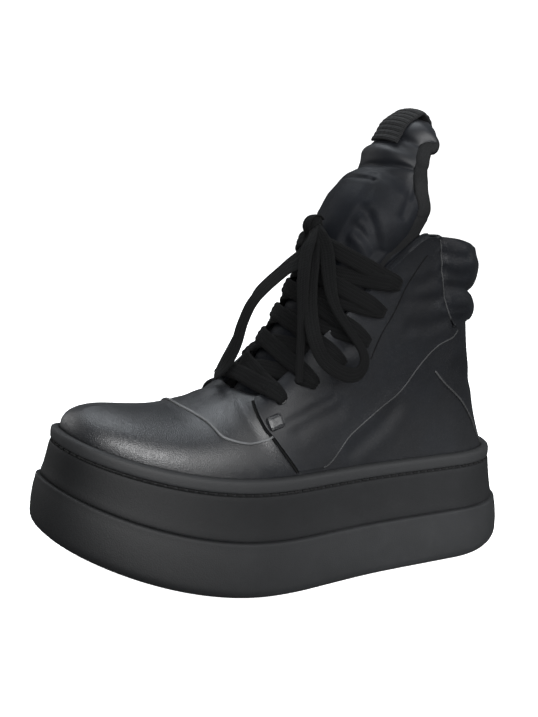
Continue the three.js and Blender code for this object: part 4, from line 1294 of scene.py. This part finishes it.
STEP_SPAN, TURN_SPAN = 17.0, 34.0
SEAM_SWELL, SEAM_SWELL_AT, SEAM_SWELL_WIDE = 0.16, 2.2, 1.6
PAD_SQUARE, PAD_FULL = 0.9, 0.6
EDGE_THICK, HEAD_FROM, HEAD_LEAST = 0.55, 0.94, 0.05
outline = through_table(TONGUE_OUTLINE, 0, 1)


def pad_reach(step):
    return np.radians(tongue_reach(step) - outline(step) - BOUND * smooth(4, 5.5, step))


def tongue_flat(step, turn):
    """The tongue laid flat, in millimetres, so that seam widths are real."""
    return np.stack([step * STEP_SPAN, turn * TURN_SPAN, 0 * step], -1)


def pad_lift(step, turn):
    flat = tongue_flat(step, turn)
    lift = np.zeros(len(step))
    for line, depth, width in TONGUE_SEAMS:
        for side in (OUTER, INNER) if line[0][1] * line[-1][1] > 0 else (OUTER,):
            places = catmull([(s, side * math.radians(d)) for s, d in line], 24)
            far = from_line(flat, tongue_flat(places[:, 0], places[:, 1])) / width
            swell = SEAM_SWELL * np.exp(-((far - SEAM_SWELL_AT) ** 2) / SEAM_SWELL_WIDE)
            lift += depth * (swell - np.exp(-(far**2)))
    for at, degrees, tall, wide, crown in TONGUE_CROWNS:
        far_along = (step - at) * STEP_SPAN / tall
        far_round = (turn - math.radians(degrees)) * TURN_SPAN / wide
        lift += crown * np.exp(-(far_along**2) - far_round**2)
    return lift


def tongue_pad(u, v):
    step = v * TONGUE_END
    ring = 2 * math.pi * u
    reach = pad_reach(step)
    turn = -reach * squared_off(np.cos(ring), PAD_SQUARE)
    edge = np.maximum(0, 1 - (np.abs(turn) / reach) ** 4)
    outside = tongue_roll(step) * edge
    inside = -tongue_thick(step) * blend(EDGE_THICK, 1, edge)
    body = squared_off(np.sin(ring), PAD_FULL)
    end = np.sqrt(np.clip(1 - ((v - HEAD_FROM) / (1 - HEAD_FROM)) ** 2, 0, 1))
    body = body * np.where(v > HEAD_FROM, np.maximum(end, HEAD_LEAST), 1)
    lift = (outside + inside) / 2 + (outside - inside) / 2 * body
    front = np.sin(ring) > 0
    lift = lift + np.where(front, pad_lift(step, turn) * edge**0.5, 0)
    return tongue_point(step, turn, lift)


tongue = wrapped("tongue_pad", TONGUE_COLUMNS, TONGUE_ROWS, tongue_pad)
dress(tongue, [soft_calf], ["tongue"])

# %% [markdown]
# A soft cloth binding closes the tongue's two long edges, and folded gussets join the tongue to the
# upper on both sides, which is why no light shows between them. The binding is one ribbon over the
# head. A gusset could be simulated cloth, but it hardly shows, so it is a sheet between two edges that
# sags in a wave.

# %% Binding and gussets
BINDING_WIDTH, BINDING_THICK = 8.5, 5.5
BINDING_FROM, BINDING_TO, BINDING_POINTS = 2.5, 9.9, 320
BINDING_SUNK, BINDING_SLIM, SLIM_FROM = -0.35, 0.62, 9.8
HEAD_STEP = 10.7
HEAD_CORNER = [(0.45, 0.96), (0.2, 0.78), (0.06, 0.52), (0.0, 0.2)]
GUSSET_FOLDS, GUSSET_SAG, GUSSET_WAVE = 3, 3.5, 1.6
GUSSET_IN, GUSSET_LIFT, GUSSET_DROP = 9, -3.0, 3
GUSSET_FRONT, GUSSET_BACK, GUSSET_HEIGHT, GUSSET_DEEP = 0, -64, 0.97, 3.4


def binding():
    """One strip up the outer edge, over the head and down the inner edge."""
    step = np.linspace(BINDING_FROM, BINDING_TO, 60)
    turn = pad_reach(step) + math.radians(0.4 * BOUND)
    corner = np.array(HEAD_CORNER)
    corner = np.stack([HEAD_STEP - corner[:, 0], corner[:, 1] * turn[-1]], -1)
    head = np.vstack([corner, corner[::-1] * (1, -1)])
    up = np.stack([step, turn], -1)
    down = np.stack([step, -turn], -1)[::-1]
    span = np.array([STEP_SPAN, TURN_SPAN])
    line = catmull(np.vstack([up, head, down]) * span, BINDING_POINTS) / span
    step, turn = line.T
    path = tongue_point(step, turn, BINDING_SUNK * tongue_thick(step))
    across = unit(np.cross(facing_at(step, turn), np.gradient(path, axis=0)))
    slim = blend(1, BINDING_SLIM, smooth(SLIM_FROM, HEAD_STEP, step))
    return ribbon("tongue_binding", path, across, BINDING_WIDTH * slim, BINDING_THICK * slim, 0.0)


def gusset_edge(side, step):
    return tongue_point(step, side * np.radians(tongue_reach(step) - GUSSET_IN), GUSSET_LIFT)


def gusset(side):
    steps = np.linspace(0.3, 6.0, 200)
    edge_z = gusset_edge(side, steps)[:, 2]

    def place(u, v):
        angle = blend(float(angle_of(GUSSET_FRONT)), float(angle_of(GUSSET_BACK)), v)
        sides = np.full(len(u), side)
        inside = last_normal(sides, angle, GUSSET_HEIGHT) * GUSSET_DEEP
        wall = last_point(sides, angle, GUSSET_HEIGHT) - inside
        edge = gusset_edge(side, np.interp(wall[:, 2] - GUSSET_DROP, edge_z, steps))
        fold = np.sin(2 * math.pi * (GUSSET_FOLDS * v + 0.6 * u))
        sag = np.sin(math.pi * u) * (GUSSET_SAG + GUSSET_WAVE * fold)
        return blend(edge, wall, u[:, None]) + np.stack([-0.5 * sag, 0 * sag, -0.8 * sag], -1)

    sheet = wrapped("gusset", 24, 90, place, False)
    modify(sheet, "SOLIDIFY", thickness=1.2 * MM, offset=-1)
    return sheet


dress(binding(), [soft_edge])
dress(join("tongue_gussets", [gusset(OUTER), gusset(INNER)]), [soft_calf])

# %% [markdown]
# A ribbed webbing loop is sewn over the tongue's head to pull the shoe on. Bump alone would leave its
# outline smooth, and its ribs are thick cords in the weave, so they are modelled, and the weave itself
# is left to the finish.

# %% Pull loop
LOOP_WIDTH, LOOP_THICK, LOOP_CLEAR = 25.0, 1.8, 0.9
RIB_PITCH, RIB_HEIGHT, RIB_ROUND = 3.2, 0.7, 0.7
LOOP_FLAT = 0.55
LOOP_SQUARE, LOOP_FULL = 0.5, 0.4


def loop_path():
    level = LOOP_CLEAR + LOOP_THICK / 2
    thick = float(tongue_thick(TONGUE_END))
    places = [(s, float(tongue_roll(s)) + level, 0.0) for s in (8.9, 9.4, 9.9, 10.4, 10.8)]
    half = thick / 2 + level
    for share in (0.12, 0.37, 0.63, 0.88):
        over = math.pi * share
        places.append((TONGUE_END, half * math.cos(over) - thick / 2, LOOP_FLAT * half * math.sin(over)))
    places += [(s, -float(tongue_thick(s)) - level, 0.0) for s in (10.8, 10.2, 9.5)]
    step, lift, rise = np.array(places).T
    _, along, _ = tongue_frame(step)
    return np.hstack([tongue_point(step, 0 * step, lift) + along * rise[:, None], step[:, None]])


def build_loop():
    line = catmull(loop_path(), 200)
    middle, step = line[:, :3], line[:, 3]
    along = unit(np.gradient(middle, axis=0))
    out = np.cross((0.0, 1.0, 0.0), along)
    gone = travelled(middle)
    rib = RIB_HEIGHT * np.abs(np.sin(math.pi * gone / RIB_PITCH)) ** RIB_ROUND
    radius = tongue_radius(np.clip(step, 0, TONGUE_END))

    def place(u, v):
        i = np.clip(np.rint(v * (len(middle) - 1)).astype(int), 0, len(middle) - 1)
        ring = 2 * math.pi * u
        c, s = np.cos(ring), np.sin(ring)
        far = squared_off(c, LOOP_SQUARE) * LOOP_WIDTH / 2
        tall = squared_off(s, LOOP_FULL) * (LOOP_THICK / 2 + np.where(s > 0, rib[i], 0))
        bend = radius[i] * (1 - np.cos(far / radius[i]))
        _, _, front = tongue_frame(np.clip(step[i], 0, TONGUE_END))
        sideways = np.stack([0 * far, far, 0 * far], -1)
        return middle[i] + sideways - front * bend[:, None] + out[i] * tall[:, None]

    return wrapped("webbing_loop", 40, len(middle) - 1, place, size=(2 * LOOP_WIDTH, float(gone[-1])))


dress(build_loop(), [webbing], ["pull_loop"])

# %% [markdown]
# The zip closes the inner side. Its teeth could be bump on a band, but they catch the light one by one,
# so one tooth is modelled and copied down both tapes.

# %% Zip chain
ZIP_TOP, ZIP_END = (-80, 0.95), (-28, 0.05)
TAPE_WIDTH, TAPE_THICK, TAPE_LEVEL, TAPE_POINTS = 15.0, 0.9, 0.55, 120
TOOTH_PITCH, TOOTH_LEVEL, TOOTH_ASIDE = 2.5, 1.5, 1.05
TOOTH, TOOTH_BEVEL = (2.9, 1.25, 1.5), 0.28


def zip_line(count, level):
    t = np.linspace(0, 1, count)
    angle = angle_of(blend(ZIP_TOP[0], ZIP_END[0], t))
    height = blend(ZIP_TOP[1], ZIP_END[1], t)
    sides = np.full(count, INNER)
    points = skin_point(sides, angle, height, level)
    normal = last_normal(sides, angle, height)
    return points, normal, unit(np.cross(normal, np.gradient(points, axis=0)))


points, normal, across = zip_line(TAPE_POINTS, TAPE_LEVEL)
tape = ribbon("zip_tapes", points, across, TAPE_WIDTH, TAPE_THICK, 0.0)
dress(tape, [zip_tape])
teeth = int(length_of(points) / TOOTH_PITCH)
points, normal, across = zip_line(2 * teeth, TOOTH_LEVEL)
frames = []
for k in range(2 * teeth):
    way = 1 if k % 2 else -1
    along = np.cross(across[k], normal[k])
    frames.append((points[k] + across[k] * way * TOOTH_ASIDE, (across[k], along, normal[k])))
chain = copies("zip_teeth", soft_box("tooth", TOOTH, TOOTH_BEVEL), frames)
dress(chain, [silver], ["zip_chain"])

# %% [markdown]
# The slider and its pull are cast pieces with softened edges. They could be one casting, but the pull
# moves: it swings on the slider's pin. So it is a piece of its own on its own body, laid round the
# pin's axis.

# %% Slider and pull
PIN = np.array([-70.21, -48.02, 198.81])
PIN_AXIS = np.array([-0.99939, 0.03500, 0.0])
PIN_OUT = np.array([-0.0350, -0.99940, 0.0])
UP = np.array([0.0, 0.0, 1.0])
SLIDER_FRAME = (PIN_AXIS, -UP, PIN_OUT)
PIN_UP, PIN_FAR = 1.5, 9.8
BASE = 3.7
BODY, CAP = (9, 11, 3.2), (6.4, 7.6, 0.8)
EYE_WIDE, EAR, EAR_LONG, EAR_PAST, EAR_CLEAR = 3.6, 1.6, 4.4, 1.8, 0.5
PIN_RADIUS, PIN_TIP, PIN_EASE, PIN_PAST = 1.0, 0.6, 0.4, 0.35
AXIS = 0.02
CAST_SHARP = 40
SLIDER_ORIGIN = PIN - PIN_OUT * PIN_FAR - UP * PIN_UP


def cast(parts):
    made = []
    for size, centre, bevel in parts:
        place = SLIDER_ORIGIN + np.array(centre) @ np.array(SLIDER_FRAME)
        made.append(copies("part", soft_box("part", size, bevel), [(place, SLIDER_FRAME)]))
    return made


def lathe(name, outline, centre, axes, sides=36):
    """A ring turned round the first axis; the outline is (along the axis, radius), and it is closed."""
    loop = np.array([*outline, outline[0]], float)

    def place(u, v):
        at = v * (len(loop) - 1)
        i = np.clip(at.astype(int), 0, len(loop) - 2)
        far, radius = blend(loop[i], loop[i + 1], (at - i)[:, None]).T
        turn = 2 * math.pi * u
        return centre + np.stack([far, radius * np.cos(turn), radius * np.sin(turn)], -1) @ np.array(axes)

    return wrapped(name, sides, len(loop) - 1, place)


ear_x = EYE_WIDE / 2 + EAR_CLEAR + EAR / 2
ear_deep = PIN_FAR + EAR_PAST - BASE
ear = (EAR, EAR_LONG, ear_deep)
slider_parts = cast([
    (BODY, (0, 0, BASE + 1.6), 0.9),
    (CAP, (0, -0.3, BASE + 3.3), 0.35),
    (ear, (-ear_x, -PIN_UP, BASE + ear_deep / 2), 0.45),
    (ear, (ear_x, -PIN_UP, BASE + ear_deep / 2), 0.45),
])
end = ear_x + EAR / 2 + PIN_PAST
half_pin = [(end - PIN_EASE, PIN_RADIUS), (end, PIN_TIP), (end, AXIS)]
pin_outline = [(-along, radius) for along, radius in half_pin[::-1]] + half_pin
pin = lathe("pin", pin_outline, PIN, SLIDER_FRAME)
slider = join("zip_slider_cast", [*slider_parts, pin])
sharpen(slider, CAST_SHARP)
dress(slider, [silver], ["zip_slider"])

PLATE_WIDE, PLATE_LONG, PLATE_THICK, NECK = 5.2, 19.0, 1.6, 12.0
NECK_WIDE, NECK_PAST, NECK_BEVEL = 2.4, 1.2, 0.45
END_HOLE = 1.3
PLATE_BEVEL, PLATE_SQUARE = 0.3, 0.8
PLATE_SIDES = 64
bevel, thick = PLATE_BEVEL, PLATE_THICK / 2
PLATE_RING = [
    (0, bevel, -thick), (0, 0, -thick + bevel), (0, 0, thick - bevel), (0, bevel, thick),
    (1, -bevel, thick), (1, 0, thick - bevel), (1, 0, -thick + bevel), (1, -bevel, -thick),
    (0, bevel, -thick),
]


def plate(u, v):
    """The pull's flat plate: one closed section, from its outline to the hole at its end and back."""
    half = PLATE_WIDE / 2
    turn = 2 * math.pi * u
    c, s = np.cos(turn), np.sin(turn)
    straight = np.clip(np.where(s < 0, -s * 3, 0), 0, 1) * (PLATE_LONG - 2 * half)
    outline = half * squared_off(np.stack([c, s], -1), PLATE_SQUARE)
    outline[:, 1] -= straight
    hole = END_HOLE * np.stack([c, s], -1)
    row = np.rint(v * (len(PLATE_RING) - 1)).astype(int)
    inner, inset, high = np.array(PLATE_RING)[row].T
    centre = outline * (1 - inset / half)[:, None] * (1 - inner)[:, None]
    centre = centre + hole * (1 - inset / END_HOLE)[:, None] * inner[:, None]
    middle = -PIN_UP + NECK + PLATE_LONG - half
    flat = np.stack([centre[:, 0], middle + centre[:, 1], PIN_FAR + high], -1)
    return SLIDER_ORIGIN + flat @ np.array(SLIDER_FRAME)


EYE_INSIDE, EYE_OUTSIDE, EYE_EASE = 1.4, 2.4, 0.3
wide, eased = EYE_WIDE / 2, EYE_WIDE / 2 - EYE_EASE
eye_outline = [
    (-wide, EYE_INSIDE + EYE_EASE), (-eased, EYE_INSIDE), (eased, EYE_INSIDE), (wide, EYE_INSIDE + EYE_EASE),
    (wide, EYE_OUTSIDE - EYE_EASE), (eased, EYE_OUTSIDE), (-eased, EYE_OUTSIDE),
    (-wide, EYE_OUTSIDE - EYE_EASE),
]
eye = lathe("eye", eye_outline, PIN, SLIDER_FRAME)
neck_middle = (0, -PIN_UP + NECK / 2 + NECK_PAST, PIN_FAR)
neck = cast([((NECK_WIDE, NECK, PLATE_THICK), neck_middle, NECK_BEVEL)])
pull_plate = wrapped("plate", PLATE_SIDES, len(PLATE_RING) - 1, plate)
pull = join("zip_pull_cast", [pull_plate, eye, *neck])
sharpen(pull, CAST_SHARP)
dress(pull, [silver], ["zip_pull"], "zip_tab")

# %% [markdown]
# Lace holes are punched and dressed with small black rings. A plain ring would show leather in its middle, so
# each one is a turned dish with a floor, set square on the skin. The black floor is painted shade where the
# open hole would be dark.

# %% Eyelet rings
RING = [
    (0.2, AXIS), (0.2, 1.7), (0.5, 1.9), (0.9, 2.2), (1.0, 2.6), (0.8, 3.0), (0.1, 3.2), (-0.8, 3.2),
    (-0.8, AXIS),
]
RING_SIDES, RING_SHARP, RING_SUNK = 24, 50, 0.1
rings = []
for side in (OUTER, INNER):
    for k in range(len(EYELETS)):
        point, normal = hole_place(side, k)
        wide = unit(np.cross(normal, UP))
        centre = point + normal * (PANEL_LEVEL - RING_SUNK)
        rings.append(lathe("ring", RING, centre, (normal, wide, np.cross(normal, wide)), RING_SIDES))
eyelets = join("eyelet_rings", rings)
sharpen(eyelets, RING_SHARP)
dress(eyelets, [enamel])

# %% [markdown]
# One small silver stud sits at the top of the inner side. A ball would stand too far out, so it is a
# low turned dome, made as the rings are.

# %% Stud
STUD = (-57.0, 0.86)
STUD_OUTLINE = [(1.1, AXIS), (1.0, 0.5), (0.6, 0.95), (0.1, 1.15), (-0.9, 1.15), (-0.9, AXIS)]
angle, height = angle_of(np.array([STUD[0]])), np.array([STUD[1]])
inside = np.array([INNER])
normal = last_normal(inside, angle, height)[0]
wide = unit(np.cross(normal, UP))
stud_place = skin_point(inside, angle, height, PANEL_LEVEL)[0]
stud = lathe("collar_stud", STUD_OUTLINE, stud_place, (normal, wide, np.cross(normal, wide)), RING_SIDES)
dress(stud, [silver])

# %% [markdown]
# Stitches finish the shoe. Bump would be lost in the groove, so one stitch is a short waxed bar, and it
# is copied along the groove under the bead.

# %% Stitches
STITCH_PITCH, STITCH, STITCH_BEVEL = 5.6, (3.9, 1.1, 1.0), 0.45
GROOVE_IN, GROOVE_DOWN = 5.7, 8.3
FINE_ROUND, NEAR_STEPS = 4001, 3
turn = np.linspace(0, 1, FINE_ROUND)
side, angle = round_the_shoe(turn)
flat = plan_point(side, angle) - plan_out(side, angle) * GROOVE_IN
line = np.stack([flat[:, 0], flat[:, 1], rim_at(flat[:, 0]) - GROOVE_DOWN], -1)
gone = travelled(line)
count = int(gone[-1] / STITCH_PITCH)
spots = np.searchsorted(gone, np.arange(count) * gone[-1] / count)
frames = []
for k in spots:
    along = unit(line[min(k + NEAR_STEPS, len(line) - 1)] - line[max(k - NEAR_STEPS, 0)])
    out = np.array([*plan_out(side[k : k + 1], angle[k : k + 1])[0], 0.0])
    frames.append((line[k], (along, np.cross(out, along), out)))
stitches = copies("rim_stitches", soft_box("stitch", STITCH, STITCH_BEVEL), frames)
dress(stitches, [thread])

# %% [markdown]
# A pale floor and big soft lamps make the plain studio. The floor is a wide sheet that rises far away,
# so no line shows behind the shoe. A picture of a studio could light it too, but lamps keep every light
# in this file, and each can be placed for one highlight.

# %% Floor and light
FLOOR_FLAT, FLOOR_SIZE, FLOOR_BEND = 2200.0, 9000.0, 4000.0
LAMP_AIM = Vector((0, 0, 0.1))
SKY_BLUE = (0.90, 0.95, 1.0)


def floor_sheet(u, v):
    x, y = (u - 0.5) * FLOOR_SIZE, (v - 0.5) * FLOOR_SIZE
    far = np.maximum(0, np.hypot(x, y) - FLOOR_FLAT)
    return np.stack([x, y, far**2 / FLOOR_BEND], -1)


floor = wrapped("studio_floor", 80, 80, floor_sheet, False)
floor_finish, wire = new_finish("pale_floor")
place = wire.node("ShaderNodeTexCoord", {}, {}, "Object")
grain = noise(wire, place, 60.0)
pale = tint(wire, grain, (0.80, 0.80, 0.80), (0.83, 0.83, 0.83))
close_finish(wire, {"Base Color": pale, "Roughness": 0.7, "Emission Color": pale, "Emission Strength": 1.1})
floor.data.materials.append(floor_finish)
floor.visible_glossy = False
floor.visible_diffuse = False

world = bpy.context.scene.world or bpy.data.worlds.new("studio")
bpy.context.scene.world = world
world.use_nodes = True
sky = world.node_tree.nodes["Background"]
sky.inputs["Color"].default_value = (*SKY_BLUE, 1)
sky.inputs["Strength"].default_value = 0.12


def lamp(name, place, power, size, colour=(1.0, 1.0, 1.0)):
    bpy.ops.object.light_add(type="AREA", location=place)
    light = bpy.context.object
    light.name = name
    light.data.energy = power
    light.data.size = size
    light.data.color = colour
    light.rotation_euler = (LAMP_AIM - Vector(place)).to_track_quat("-Z", "Y").to_euler()


lamp("key_softbox", (0.70, 2.00, 0.78), 150.0, 1.9)
lamp("toe_softbox", (1.75, 1.45, 0.75), 22.0, 1.2)
lamp("top_softbox", (0.02, -0.55, 1.50), 22.0, 1.1, SKY_BLUE)
lamp("fill_softbox", (1.0, -1.7, 0.65), 11.0, 1.5)
lamp("vamp_softbox", (-0.75, 1.50, 1.40), 17.0, 0.7)
lamp("heel_softbox", (-1.25, 0.75, 0.75), 4.0, 0.5)
bpy.context.scene.view_settings.view_transform = "Standard"
